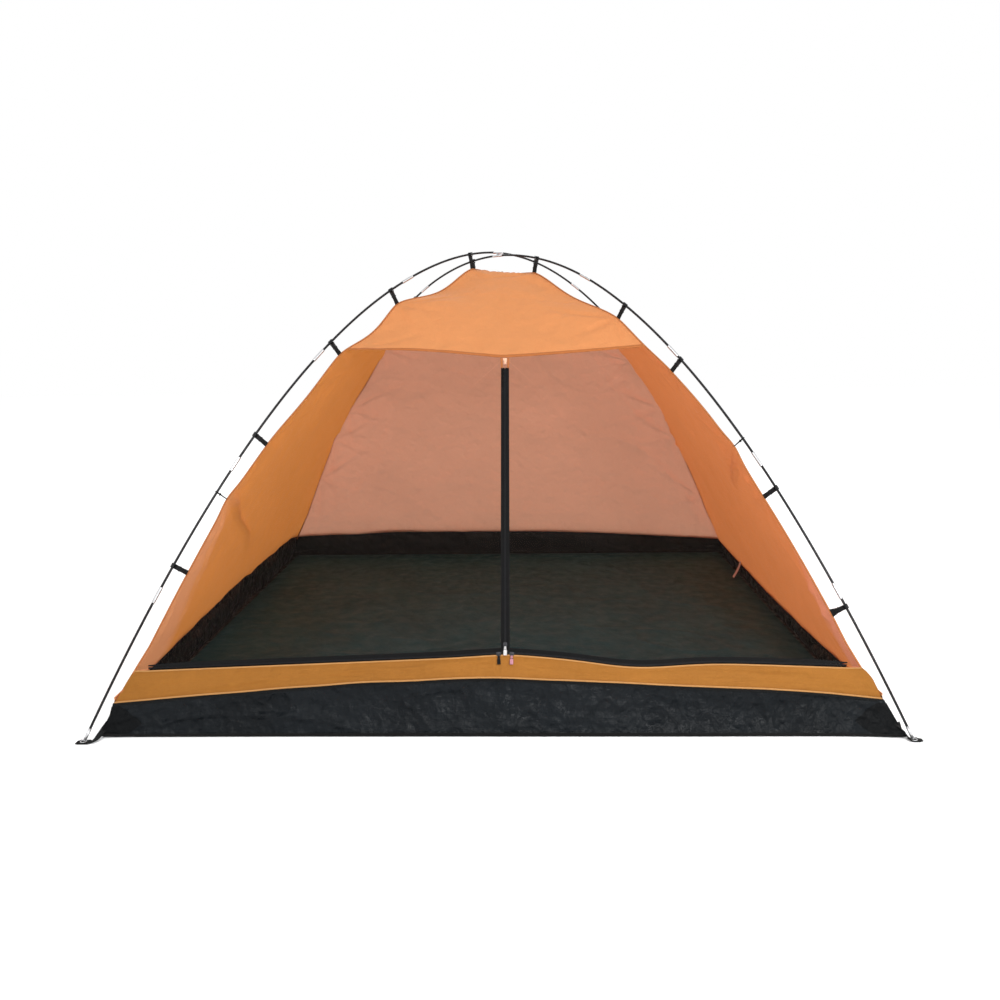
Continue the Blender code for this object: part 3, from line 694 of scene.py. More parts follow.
def teeth_along(name, line, side, nn, body, phase):
    pitch = 0.0026
    at, run, get = resample(line, pitch)
    at = at[:-1] + phase * pitch
    p = get(at)
    d = get(np.minimum(at + 0.001, run[-1])) - get(at - 0.001)
    d = unit(d)
    s, n = side[0], nn[0]
    boxes = np.stack([p + s * 0.0011 + n * 0.0012, d * 0.0008, np.tile(s * 0.0019, (len(p), 1)),
                      np.tile(n * 0.0009, (len(p), 1))], 1)
    put(many(name, boxes, TEETH), body)


def stitch_line(name, line, side, nn, mat, body, pitch=0.0042):
    at, run, get = resample(line, pitch)
    p = get(at + pitch * 0.3)
    d = get(np.minimum(at + pitch, run[-1])) - get(at)
    size = np.linalg.norm(d, axis=1, keepdims=True)
    keep = size[:, 0] > pitch * 0.6
    d = d / np.maximum(size, 1e-9)
    i = np.clip(np.searchsorted(run, at), 0, len(line) - 1)
    boxes = np.stack([p, d * 0.0013, side[i] * 0.00035, nn[i] * 0.00035], 1)[keep]
    put(many(name, boxes, mat), body)


# ---- opaque fabric panels ----
def walls():
    t = np.sin(np.linspace(-1, 1, 181) * math.pi / 2)
    for name, side, mat, seed in (("left_wall", "left", ORANGE, 3), ("right_wall", "right", ORANGE_RIGHT, 8),
                                  ("back_wall", "back", ORANGE_BACK, 14)):
        s = np.linspace(TOP_SHARE, SEAM_END, 190)
        p = wall_points(side, s, t, seed=seed, folds=1.5 if side == "back" else 1.0)
        ob = grid(name + "_cloth", p, mat, distances(p), flip=not oriented(p, side))
        put(ob, stands_for=name)


def cap_low(s, t, u, z):
    near = (s / CAP_END) ** 4
    k = near * (1 - np.abs(t) ** 1.15)
    wave = 0.010 * np.sin(math.pi * np.clip((-t - 0.05) / 0.95, 0, 1)) * (s / CAP_END) ** 6
    return (u + (DOOR_TOP[0] - u) * k, z + (DOOR_TOP[1] + 0.002 - z) * k + wave,
            ZIP_SHIFT * (1 - np.abs(t)) * near)


def cap():
    t = np.sin(np.linspace(-1, 1, 121) * math.pi / 2)
    s = np.linspace(TOP_SHARE, CAP_END, 76)
    p = wall_points("front", s, t, low=cap_low, bow=0.012, seed=21)
    ob = grid("front_cap_cloth", p, ORANGE_CAP, distances(p), flip=not oriented(p, "front"))
    put(ob, stands_for="front_cap")
    # turned and stitched hem along the lower edge
    edge = p[-1]
    side = unit(edge - p[-6])
    nrm = unit(np.cross(side, np.gradient(edge, axis=0)))
    if nrm[60, 1] > 0:
        nrm = -nrm
    put(ribbon("cap_hem", edge - side * 0.004 + nrm * 0.0006, side, nrm, 0.011, 0.0016, HEM))
    return edge


def bindings():
    # bound seam along each pole: covers where two panels meet
    s = np.linspace(TOP_SHARE, SEAM_END, 240)
    for name, corner, sx, sy in CORNERS:
        u, z = seam(s, corner)
        path = np.stack([sx * u, sy * u, z], -1)
        _, side, up = frames(path, np.array([sx, -sy, 0.0]) / ROOT2)
        if np.dot(up[90], (sx, sy, 0)) < 0:
            up = -up
        put(ribbon(f"seam_binding_{name}", path - up * 0.0004, side, up, 0.0066, 0.0018, BINDING, crown=0.0016))


def to_front(v):
    return -v if v.y > 0 else v


def door_side(sx):
    # one side of the door, as in the CAD
    top = Vector((ZIP_SHIFT, -DOOR_TOP[0], DOOR_TOP[1]))
    low = Vector((ZIP_SHIFT, -SILL_OUT, SILL_HEIGHT))
    along = (top - low).normalized()
    low = low + along * ZIP_HALF
    corner = Vector((sx * DOOR_HALF, -DOOR_CORNER_OUT, SILL_END)) + along * ZIP_HALF
    sill_dir = (corner - low).normalized()
    normal = to_front(sill_dir.cross(along).normalized())
    up = (along - sill_dir * along.dot(sill_dir)).normalized()
    return {"top": top, "low": low, "corner": corner, "along": along, "run": sill_dir, "normal": normal,
            "up": up}


DOOR = {sx: door_side(sx) for sx in (-1, 1)}
UP_NORMAL = to_front(SX.cross(DOOR[1]["along"]).normalized())
# where each side's seam passes the sill's end
FRONTS = {-1: FRONT_LEFT, 1: FRONT_RIGHT}
SILL_SHARE = {sx: first_past(lambda s, c=c: float(seam(s, c, 0.0)[1]) < SILL_END, 0.3, SEAM_END)
              for sx, c in FRONTS.items()}
SILL_U = {sx: float(seam(SILL_SHARE[sx], c, 0.0)[0]) for sx, c in FRONTS.items()}


# ---- door ----
def sill_dip(x):
    # the sill's top edge lies lower on the right, where the zip is slack
    return -0.018 * np.exp(-((x - 0.37) / 0.15) ** 2) + 0.003 * np.exp(-((x - ZIP_SHIFT) / 0.10) ** 2)


def zip_line(sx, f):
    # points on the sill zip's middle line, f from 0 at the middle to 1 at the corner
    f = np.asarray(f, float)
    d = DOOR[sx]
    a, b = np.array(d["low"]), np.array(d["corner"])
    p = a + (b - a) * f[..., None]
    return p + np.array(d["up"]) * (sill_dip(p[..., 0]) * (1 - f ** 6))[..., None]


def net_ripple(p, seed):
    return 0.0035 * fbm(p * 4.0, 3, seed) + 0.0010 * creases(p * 4.5, seed + 3, 14.0)


def flap_net(word, sx):
    # rows fan out from the top of the zip
    top, normal = np.array(DOOR[sx]["top"]), np.array(DOOR[sx]["normal"])
    r = np.linspace(0.012, 1, 70)[:, None, None]
    f = np.linspace(0, 1, 60)[None, :]
    base = zip_line(sx, f)
    p = top + (base - top) * r
    hold = np.clip(f * 8, 0, 1) * np.clip((1 - f) * 8, 0, 1) * np.clip((1 - r[..., 0]) * 10, 0, 1)
    p = p + normal * (net_ripple(p, 40 + sx) * hold)[..., None]
    p[:, 0, 0] = ZIP_SHIFT + sx * 0.0012
    ob = grid(f"{word}_flap_net", p, NET, distances(p), flip=sx > 0)
    put(ob, f"{word}_flap", f"{word}_flap")


def side_net(word, sx, cap_edge):
    # fixed net between the flap's turning line and the pole's sewn line
    top, normal = np.array(DOOR[sx]["top"]), np.array(DOOR[sx]["normal"])
    f = np.linspace(0, 1, 90)
    end = zip_line(sx, np.array([1.0]))[0]
    inner = top + (end - top) * f[:, None]
    s = CAP_END + (SILL_SHARE[sx] - CAP_END) * f
    u, z = seam(s, FRONTS[sx])
    outer = np.stack([sx * u, -u, z], -1)
    mid = len(cap_edge) // 2
    edge = cap_edge[mid:] if sx > 0 else cap_edge[mid::-1]
    outer[0] = edge[-1]
    g = np.linspace(0, 1, 40)
    p = inner[:, None] + (outer - inner)[:, None] * g[None, :, None]
    # the top row follows the cap's lower edge
    k = np.interp(g, np.linspace(0, 1, len(edge)), np.arange(len(edge)))
    row = np.stack([np.interp(k, np.arange(len(edge)), edge[:, c]) for c in range(3)], -1)
    p = p + (row - p[0])[None] * (np.exp(-f * 14))[:, None, None]
    hold = np.clip(g * 6, 0, 1)[None, :] * np.clip((1 - g) * 8, 0, 1)[None, :]
    p = p + normal * (net_ripple(p, 44 + sx) * hold * np.clip(f * 10, 0, 1)[:, None])[..., None]
    ob = grid(f"{word}_side_net", p, NET, distances(p), flip=sx < 0)
    put(ob, stands_for=f"{word}_mesh")


def nets(cap_edge):
    for word, sx in HANDS:
        flap_net(word, sx)
        side_net(word, sx, cap_edge)


def sill_top(t):
    # top edge of the sill from corner to corner, and how far along the zip each point is
    edge_u = np.where(t < 0, SILL_U[-1], SILL_U[1])
    shift = ZIP_SHIFT * np.sign(t)
    k = np.minimum(np.abs(t) * (edge_u - shift) / (DOOR_HALF - shift), 1.0)
    x = t * edge_u + ZIP_SHIFT * (1 - np.abs(t))
    z = SILL_HEIGHT + (SILL_END - SILL_HEIGHT) * k
    p = np.stack([x, -(SILL_OUT + (edge_u - SILL_OUT) * np.abs(t)), z], -1)
    up = np.where((t < 0)[:, None], np.array(DOOR[-1]["up"]), np.array(DOOR[1]["up"]))
    return p + up * (sill_dip(x) * (1 - k ** 6))[:, None], up


def sill():
    # orange strip from the tub's front wall up to the sill zip
    t = np.linspace(-1, 1, 321)
    hi, up = sill_top(t)
    hi = hi + up * 0.0006
    lo = np.stack([t * (FLOOR_HALF - 0.0005), np.full_like(t, -FLOOR_HALF - 0.0012), tub_top("front", t) - 0.002], -1)
    lo[:, 2] += 0.0015 * noise(np.stack([t * 9, t * 0, t * 0 + 3.3], -1), 5)
    # its two ends follow the poles' sewn lines
    ends = {}
    heights = np.linspace(0, 1, 25)
    for sx, corner in FRONTS.items():
        u, z = seam(SEAM_END + (SILL_SHARE[sx] - SEAM_END) * heights, corner, 0.0)
        line = np.stack([sx * u, -u, z], -1)
        i = -1 if sx > 0 else 0
        first, last = lo[i] - line[0], hi[i] - line[-1]
        ends[i] = line + first * (1 - heights)[:, None] + last * heights[:, None]
    near_end = {i: np.clip((sx * t - 0.90) / 0.10, 0, 1) ** 2 for i, sx in ((0, -1), (-1, 1))}
    rows = []
    for j, g in enumerate(heights):
        p = lo + (hi - lo) * g
        for i, end in ends.items():
            p = p + (end[j] - p[i])[None] * near_end[i][:, None]
        body = math.sin(math.pi * g)
        flat = 1 - 0.75 * np.exp(-((t - ZIP_SHIFT) / 0.07) ** 2)
        along = np.stack([t * 2.4, t * 0, t * 0 + g * 1.1], -1)
        out = 0.0045 * body * (0.7 + 0.6 * noise(along, 9))
        out = out + 0.0030 * body * fbm(np.stack([t * 4.0, t * 0 + g * 5.0, t * 0], -1), 3, 12)
        out = out + 0.0025 * body * (creases(np.stack([t * 3.0, t * 0 + g * 2.6, t * 0 + 1.7], -1), 15, 14.0) - 0.3)
        puff = 0.010 * body * np.clip((t - 0.90) / 0.06, 0, 1) * (0.4 + g)
        p = p + np.array([0, -0.85, 0.5]) * (out * flat + puff * 0.7)[:, None]
        p[:, 0] += puff * 0.7
        rows.append(p)
    p = np.stack(rows)
    ob = grid("front_sill_cloth", p, ORANGE_SILL, distances(p), flip=not oriented(p, "front"))
    put(ob, stands_for="front_sill")
    # turned light edges, dark binding along the seam below
    nrm = np.array([0, -0.84, 0.54])
    forward = (0, -1.0, 0)
    put(ribbon("sill_top_hem", p[-1] - up * 0.0022 + nrm * 0.0011, up, nrm, 0.0040, 0.0012, SILL_EDGE))
    put(ribbon("sill_low_hem", p[0] + np.array([0, -0.0012, 0.0036]), UP, forward, 0.0045, 0.0014, SILL_EDGE))
    put(ribbon("sill_low_binding", p[0] + np.array([0, -0.0020, -0.0022]), UP, forward, 0.0065, 0.0018, TUB_HEM))


def sill_zips():
    # the upper half of each sill zip belongs to its flap
    for word, sx in HANDS:
        f = np.linspace(0.004, 0.999, 150)
        line = zip_line(sx, f)
        _, side, _ = frames(line, np.array(DOOR[sx]["up"]))
        nn = np.tile(np.array(DOOR[sx]["normal"]), (len(f), 1))
        for where, k, body, deep, wide in (("upper", 1, f"{word}_flap", 0.0004, 0.0125),
                                           ("lower", -1, "tent", -0.0016, 0.0105)):
            put(ribbon(f"{word}_sill_tape_{where}", line + side * k * (wide / 2 + 0.0008) + nn * deep, side, nn,
                       wide * (1 - 0.75 * np.clip((f - 0.90) / 0.10, 0, 1)), 0.0012, TAPE), body)
            teeth_along(f"{word}_sill_teeth_{where}", line, side * k, nn, body, 0.5 * (k > 0))


def upright_zip():
    zip_top, along = np.array(DOOR[1]["top"]), np.array(DOOR[1]["along"])
    top, low = zip_top - along * 0.034, np.array(DOOR[1]["low"]) + along * 0.002
    line = low + (top - low) * np.linspace(0, 1, 120)[:, None]
    nn = np.tile(np.array(UP_NORMAL), (120, 1))
    side = np.tile(np.array(SX), (120, 1))
    for word, sx in HANDS:
        put(ribbon(f"{word}_zip_tape", line + side * sx * 0.0064 + nn * 0.0004, side, nn, 0.0112, 0.0012, TAPE),
            f"{word}_flap")
        teeth_along(f"{word}_zip_teeth", line, side * sx, nn, f"{word}_flap", 0.5 * (sx > 0))
        stitch_line(f"{word}_zip_stitch", line + side * sx * 0.0105 + nn * 0.0012, side, nn, THREAD,
                    f"{word}_flap")
    # light end of the zip between two brown folds, under the cap; the patch ends above the slider's top
    # stop and the folds stand wide enough to let the slider in
    path = zip_top - along * np.linspace(0.002, 0.036, 9)[:, None] + np.array(UP_NORMAL) * 0.0028
    put(ribbon("zip_top_patch", path[:6], SX, UP_NORMAL, np.linspace(0.012, 0.0090, 6), 0.0012, PATCH))
    for word, sx in HANDS:
        apart = np.array(SX) * sx * np.linspace(0.0105, 0.0092, 9)[:, None]
        put(ribbon(f"zip_top_fold_{word}", path + apart, SX, UP_NORMAL, 0.0062, 0.0022, BINDING, crown=0.0008))


# ---- groundsheet ----
# the corners at the two ends of each side
RING_ENDS = {"front": ("front_left", "front_right"), "right": ("front_right", "rear_right"),
             "back": ("rear_right", "rear_left"), "left": ("rear_left", "front_left")}


def corner_pull(word, height):
    # how far the tub's corner is drawn out to its strap at a height
    if word == "front_right":
        return np.interp(height, (0.0, 0.013, 0.022, 0.091), (0.049, 0.045, 0.0355, 0.001))
    return np.interp(height, (0.004, 0.018, 0.053, 0.084), (0.0315, 0.025, 0.010, 0.003))


def tub_wall(side, t, g, off=0.0):
    # a row of the tub's standing wall: g from 0 at the floor to 1 at the top edge
    z = 0.0014 * (1 - g) + tub_top(side, t) * g
    lean = (0.030 + 0.006 * np.clip(t + 0.5, 0, 1) if side == "front" else 0.008 + 0 * t) * (1 - g) ** 1.5
    pull = np.where(t < 0, corner_pull(RING_ENDS[side][0], z), corner_pull(RING_ENDS[side][1], z))
    w = np.exp(-(1 - np.abs(t)) / 0.055)
    lift = 0.0026 * np.exp(-(1 - np.abs(t)) / 0.03) * (1 - g)
    out = lean * (1 - w) + pull * w
    p = to_world(side, FLOOR_HALF + out, t * (FLOOR_HALF + pull * w), z + lift)
    c = p + np.array([3.1, 1.7, 0.0])
    belly = math.sin(math.pi * min(g * 1.05, 1.0)) * (1 - t ** 16)
    d = (0.008 * fbm(c * np.array([4.5, 4.5, 9.0]), 3, 61)
         + 0.013 * (creases(c * np.array([6.0, 6.0, 11.0]), 63, 9.0) - 0.35)
         - 0.005 * creases(c * np.array([13.0, 13.0, 17.0]), 65, 8.0))
    # folds that run from the strap into the wall
    for end in (-1, 1):
        a = (1 - end * t) * FLOOR_HALF + 0.02
        angle = np.arctan2(z - 0.01, a)
        d = d + 0.006 * np.sin(angle * 16 + end) * np.exp(-(a / 0.13) ** 2) * np.clip(a / 0.05, 0, 1)
    facing = to_world(side, np.ones_like(t), t * 0, t * 0)
    return p + facing * (d * belly + off)[:, None], facing


def floor():
    x = np.linspace(-1, 1, 141)
    gx, gy = np.meshgrid(x, x, indexing="ij")
    p = np.stack([gx * (FLOOR_HALF - 0.003), gy * (FLOOR_HALF - 0.003), gx * 0], -1)
    rim = np.clip((1 - np.maximum(np.abs(gx), np.abs(gy))) / 0.06, 0, 1)
    fold = sum(np.exp(-(np.abs(gx - c) / 0.012)) for c in (-0.62, -0.15, 0.33, 0.78))
    fold = fold + sum(np.exp(-(np.abs(gy - c) / 0.012)) for c in (-0.55, -0.08, 0.41, 0.80))
    z = 0.0012 + rim * (0.0055 * np.abs(fbm(p * 3.5 + 7.7, 3, 51)) + 0.005 * creases(p * 4.3 + 2.2, 57, 12.0)
                        + 0.004 * np.clip(fold, 0, 1.3) * (0.6 + 0.4 * noise(p * 6.0 + 4.4, 58)))
    p[..., 2] = z
    ob = grid("groundsheet_floor", p, FLOOR, p[..., :2])
    put(ob)


def tub():
    # four standing walls in one ring, closed onto the floor's edge
    t = np.linspace(-1, 1, 261)[:-1]
    inner = FLOOR_HALF - 0.004
    rows = [np.concatenate([to_world(side, inner, t * inner, 0.0010) for side in RING_ENDS])]
    for g in np.linspace(0, 1, 20):
        rows.append(np.concatenate([tub_wall(side, t, g)[0] for side in RING_ENDS]))
    pts = np.stack(rows)
    nn, m = pts.shape[:2]
    run = np.linspace(0, 8.0, m)
    uv = np.stack(np.broadcast_arrays(run[None, :], np.linspace(0, 0.11, nn)[:, None]), -1).reshape(-1, 2)
    ob = piece("groundsheet_cloth", pts.reshape(-1, 3), grid_faces(nn, m, wrap=True), TUB, uv=uv)
    put(ob, stands_for="groundsheet")


def tub_bindings():
    # black binding along the top of the side and rear walls, with the walls' turned hem above it
    for side in ("right", "back", "left"):
        t = np.linspace(-0.998, 0.998, 200)
        z = tub_top(side, t) + 0.0015 + 0.0012 * noise(np.stack([t * 12, t * 0, t * 0 + 1.5], -1), 71)
        path = to_world(side, FLOOR_HALF, t * FLOOR_HALF, z)
        nrm = to_world(side, 1.0, t * 0, 0.0)
        put(ribbon(f"tub_binding_{side}", path, UP, nrm, 0.010, 0.0036, TUB_HEM))
        put(ribbon(f"wall_hem_{side}", path + UP * 0.010, UP, nrm, 0.009, 0.0024, WALL_HEM))
    # bound line along the floor, all round
    t = np.linspace(-0.995, 0.995, 240)
    for side in RING_ENDS:
        low, facing = tub_wall(side, t, 0.03)
        put(ribbon(f"floor_binding_{side}", low + facing * 0.0008 + UP * 0.0010, UP, facing, 0.0075, 0.0026, TUB_HEM))


# ---- poles ----
def poles():
    h, r = FERRULE_HALF, FERRULE_R
    # sleeve from its rolled end to its middle: distance along, radius
    half_sleeve = [(-h, POLE_R), (-h, r - 0.0008), (-h + 0.0008, r - 0.0001), (-h + 0.002, r), (-h * 0.4, r)]
    sleeve_at, sleeve_r = zip(*half_sleeve, (0, r), *((-a, b) for a, b in half_sleeve[::-1]))
    foot, tip = ((1 - height / POLE_APEX) ** (1 / POLE_POWER) for height in (0.0066, 0.0018))
    fine = np.linspace(-1, 1, 4001)
    for letter, turn, lift in (("a", 1, CROSS_LIFT), ("b", -1, -CROSS_LIFT)):
        direction = np.array([turn, 1, 0.0]) / ROOT2
        side = np.array([1, -turn, 0.0]) / ROOT2
        run = pole_run(fine, lift)
        step = run[-1] / SECTIONS

        def stations(lengths):
            # centres, side and up vectors at distances along the pole
            s = np.interp(lengths, run, fine)
            r, z = arch(s, lift)
            dr, dz = arch_dir(s, lift)
            sd = np.tile(side, (len(s), 1))
            return (direction * r[:, None] + UP * z[:, None], sd,
                    np.cross(direction * dr[:, None] + UP * dz[:, None], sd))

        lo_end, hi_end = np.interp(-foot, fine, run), np.interp(foot, fine, run)
        for k in range(SECTIONS):
            lo = lo_end if k == 0 else k * step + 0.0005
            hi = hi_end if k == SECTIONS - 1 else (k + 1) * step
            put(tube(f"pole_{letter}_{k + 1}_rod", *stations(np.linspace(lo, hi, 34)), np.full(34, POLE_R), POLE),
                stands_for=f"pole_{letter}_section_{k + 1}")
            if k < SECTIONS - 1:
                put(tube(f"pole_{letter}_{k + 1}_ferrule", *stations(np.array(sleeve_at) + (k + 1) * step),
                         sleeve_r, STEEL, 20, caps=False))
        for word, end, inward in (("front", -1, 0.030), ("rear", 1, -0.030)):
            a, b = np.interp(end * foot, fine, run), np.interp(end * tip, fine, run)
            at = np.array([a + inward, a + inward, a, a, a + (b - a) * 0.15, b - (b - a) * 0.1, b])
            rad = (POLE_R, FERRULE_R - 0.0004, FERRULE_R - 0.0004, TIP_R, TIP_R, TIP_R, TIP_R * 0.6)
            put(tube(f"pole_{letter}_{word}_tip", *stations(at), rad, STEEL, 20))


# ---- clips ----
def clips():
    ri, ro, tip = POLE_R + 0.0006, POLE_R + 0.0028, 0.0060
    reach = CLIP_REACH - HINGE_OUT
    body = reach - ro - 0.017

    def arc(radius, start, turn, count):
        angles = [math.radians(start + turn * k) for k in range(count)]
        return [(radius * math.cos(a), reach + radius * math.sin(a)) for a in angles]

    hook = [(-0.0019, body), (0.0019, body), (0.0021, reach - ro - 0.002), (0.0038, reach - ro),
            (tip - 0.001, reach - ro + 0.0002), (tip, reach - ri - 0.0006), (tip - 0.0006, reach - ri),
            *arc(ri, -90, -15, 13), (tip - 0.0006, reach + ri), (tip, reach + ri + 0.0006),
            (tip - 0.001, reach + ro), *arc(ro, 90, 15, 10)]
    rib = [(0.0017, body + 0.0035), (0.0026, body + 0.0042), (0.0026, reach - ro - 0.0035),
           (0.0019, reach - ro - 0.0025)]
    bar = [(-0.0030, body), (0.0030, body), (0.0030, body + 0.0030), (-0.0030, body + 0.0030)]
    ys = np.linspace(-0.002, body + 0.0035, 12)
    for word, corner, sx, sy in CORNERS:
        lift = corner[1]
        direction = Vector((sx, sy, 0)).normalized()
        for number, s in enumerate(corner[0], 1):
            name = f"clip_{word}_{number}"
            (r, z), (dr, dz) = arch(s, lift), arch_dir(s, lift)
            t = direction * float(dr) + Vector((0, 0, float(dz)))
            centre = direction * float(r) + Vector((0, 0, float(z)))
            out = Vector((0, 0, 1)) * float(dr) - direction * float(dz)
            across = out.cross(t)
            if across.x * sx > 0:
                across, t = -across, -t
            root = centre - out * reach

            def at(x, y, k=0.0):
                return root + across * x + out * y + t * k

            # hook round the pole, a raised rib down its tab and a slot bar where the tape turns back
            for part, outline, wide, rounded in (("hook", hook, CLIP_W, 0.0005), ("rib", rib, 0.0028, 0.0002),
                                                 ("bar", bar, CLIP_W + 0.0018, 0.0006)):
                put(prism(f"{name}_{part}", [at(x, y, -wide / 2) for x, y in outline], t * wide, CLIP, rounded),
                    name, name if part == "hook" else None)
            # doubled tape from the tab to the sewn line, wider where it is sewn down
            flare = 1 + (0.85 if number == 5 and sx > 0 else 0.18) * np.clip(1 - ys / 0.026, 0, 1) ** 1.2
            for k, off in ((1, -0.0011), (2, 0.0011)):
                spread = off * (1 + 0.9 * np.clip((ys - body + 0.006) / 0.006, 0, 1))
                path = [at(float(x), float(y)) for x, y in zip(spread, ys)]
                put(ribbon(f"{name}_tape_{k}", path, t, across, 0.0120 * flare, 0.0012, STRAP), name)
            # bar tack across the root of the tape
            rows = [(at(side * 0.0019, 0.0050, i * 0.0014), t * 0.0004, out * 0.0012, across * side * 0.0003)
                    for side in (-1, 1) for i in range(-4, 5)]
            put(many(name + "_tack", rows, THREAD), name)


def ties():
    # short elastic ties between two clips, from the seam round the pole and back
    for word, corner, sx, sy in CORNERS:
        s = corner[3]
        direction = np.array([sx, sy, 0.0]) / ROOT2
        (r, z), (dr, dz) = arch(s), arch_dir(s)
        out = UP * dr - direction * dz
        t = direction * dr + UP * dz
        c = direction * r + UP * z
        side = np.cross(out, t)
        root = c - out * (float(reach_of(np.array([s]), corner)[0]) + 0.002)
        there, back = ([root + side * 0.0012 * k, c - out * 0.014 + side * 0.0016 * k,
                        c - out * 0.006 + side * 0.0030 * k, c + side * (POLE_R + 0.0016) * k,
                        c + out * (POLE_R + 0.0017)] for k in (-1, 1))
        path = smooth_path(there + back[::-1][1:], 56, 3)
        _, sd, up = frames(path, t)
        put(tube(f"tie_{word}", path, sd, up, np.full(56, 0.0014), STRAP, 10))
        # knot under the pole
        wave = 0.0012 * np.sin(2 * np.linspace(0, 2 * math.pi, 21))[:, None]
        put(ring_tube(f"tie_{word}_knot", c - out * (0.0115 - wave), side * 0.0026, t * 0.0026, out, 0.0014,
                      STRAP, 21))


# ---- zip sliders, pulls ----
def slider(name, pull, c, run, up, nrm, down, cross, face, mat):
    # slider at c: along the zip, across it and out of the cloth; its pull hangs down, with its own face
    half = 0.0062

    def plate(part, depth, thick, wide):
        side = [(-half, -wide * 0.55), (-half + 0.0025, -wide), (half * 0.3, -wide), (half, -wide * 0.8)]
        outline = side + [(x, -w) for x, w in side[::-1]]
        return prism(name + part, [c + run * x + up * w + nrm * depth for x, w in outline], nrm * thick, SLIDER)

    put(plate("_plate", 0.0022, 0.0014, 0.0052), name, name)
    put(plate("_under", -0.0036, 0.0012, 0.0046), name)
    post = ((0.002, -0.0009), (0.0058, -0.0012), (0.0058, 0.0012), (0.002, 0.0009))
    put(prism(name + "_post", [c + run * x + up * w - nrm * 0.003 for x, w in post], nrm * 0.006, SLIDER, 0.0002),
        name)
    path = np.array([c + run * (0.0042 * math.cos(a)) + nrm * (0.0032 + 0.0034 * math.sin(a))
                     for a in np.linspace(0, math.pi, 13)])
    put(ribbon(name + "_bridge", path, up, frames(path, up)[2], 0.0024, 0.0010, SLIDER), name)
    # ring through the bridge, then a cloth loop with a bar tack
    put(ring_tube(pull + "_ring", c + nrm * 0.0056 + down * 0.0035, down * 0.0045, cross * 0.0030, face, 0.0006,
                  SLIDER, 25), pull)
    y = np.linspace(0.0055, 0.0290, 18)
    path = [c + nrm * 0.0058 + down * float(k) for k in y]
    width = 0.0044 + 0.0046 * np.clip((y - 0.0055) / 0.012, 0, 1)
    put(ribbon(pull + "_loop", path, cross, face, width, 0.0022, mat, crown=0.0004), pull, pull)
    rows = [(c + nrm * 0.0058 + down * 0.0135 + cross * (0.0011 * k) + face * 0.0016,
             cross * 0.0004, down * 0.0009, face * 0.0002) for k in range(-3, 4)]
    put(many(pull + "_tack", rows, THREAD), pull)


def sliders():
    d = DOOR[1]
    slider("zip_slider", "zip_pull", d["low"] + d["along"] * 0.024, d["along"], SX, UP_NORMAL, -d["along"],
           SX, UP_NORMAL, PULL_WHITE)
    for (word, sx), mat in zip(HANDS, (PULL_BLACK, PULL_PINK)):
        d = DOOR[sx]
        run, c = d["run"], d["low"] + d["run"] * 0.017
        # the pull hangs along the slope of the sill
        hang = Vector((c.x, -FLOOR_HALF, float(tub_top("front", c.x)))) - (c - d["up"] * ZIP_HALF)
        hang = (hang - run * hang.dot(run)).normalized()
        slider(f"{word}_sill_slider", f"{word}_sill_pull", c, run, d["up"], d["normal"], hang, run,
               to_front(run.cross(hang).normalized()), mat)


# ---- corner straps ----
# each strap's middle line from under the tub's corner to its free end, as distances out in x and y, and z
STRAP_LINE = ((1.014, 1.014, 0.034), (1.027, 1.028, 0.0150), (1.032, 1.050, 0.0050), (1.038, 1.0615, 0.0018),
              (FOOT_HALF, 1.0625, 0.0014), (1.0790, 1.0625, 0.0016))
STRAP_LINE_FRONT_RIGHT = ((1.029, 1.029, 0.034), (1.042, 1.042, 0.0150), (1.050, 1.0535, 0.0040),
                          (1.055, 1.0590, 0.0018), (FOOT_HALF, 1.0600, 0.0014), (1.0830, 1.0600, 0.0016))


def straps():
    for word, _, sx, sy in CORNERS:
        foot = FOOT_HALF
        line = STRAP_LINE_FRONT_RIGHT if word == "front_right" else STRAP_LINE
        path = smooth_path(np.array(line) * (sx, sy, 1), 50, 4)
        direction, side = np.array([sx, 0.0, 0.0]), np.array([0.0, sy, 0.0])
        # the tape stands upright at the tub and turns flat on the ground
        reach = path[:, 0] * sx
        k = np.clip((reach - 1.030) / (foot - 0.020 - 1.030), 0, 1)[:, None] ** 0.7
        _, sd, up = frames(path, side * k - direction * (1 - k))
        if up[-8, 2] < 0:
            up = -up
        # wider round the eyelet, with a second layer where the tape runs back
        width = 0.016 + 0.008 * (np.clip((reach - foot + 0.022) / 0.008, 0, 1)
                                 - np.clip((reach - foot - 0.012) / 0.008, 0, 1))
        put(ribbon(f"strap_{word}_tape", path, sd, up, width, 0.0015, STRAP), stands_for=f"strap_{word}")
        back = (reach < foot + 0.014) & (reach > foot - 0.018)
        put(ribbon(f"strap_{word}_fold", path[back] + up[back] * 0.0015, sd[back], up[back], width[back] - 0.001,
                   0.0013, STRAP))
        rows = [(direction * (foot + 0.0115 * a) + side * (foot + 0.0065 * k) + UP * 0.0040,
                 side * 0.0007, direction * 0.0003, UP * 0.0002) for k in np.linspace(-1, 1, 9) for a in (-1, 1)]
        put(many(f"strap_{word}_stitch", rows, THREAD))
        put(ring_tube(f"strap_{word}_eyelet", (direction + side) * foot + UP * 0.0032, direction * 0.0074,
                      side * 0.0074, UP, 0.0012, STEEL, 33, 12))
        # triangular patch sewn on the tub's corner, on both faces
        for face, ends in RING_ENDS.items():
            if word in ends:
                end = -1 if ends[0] == word else 1
                patch = []
                for g in np.linspace(0.02, 0.90, 15):
                    reach = 0.004 + 0.075 * (1 - abs(g - 0.35) / 0.62) ** 0.8
                    patch.append(tub_wall(face, end * (1 - np.linspace(0, 1, 12) * reach), float(g), 0.0013)[0])
                patch = np.stack(patch)
                put(grid(f"corner_patch_{word}_{face}", patch, PATCH_BLACK, distances(patch),
                         flip=not oriented(patch, face)))


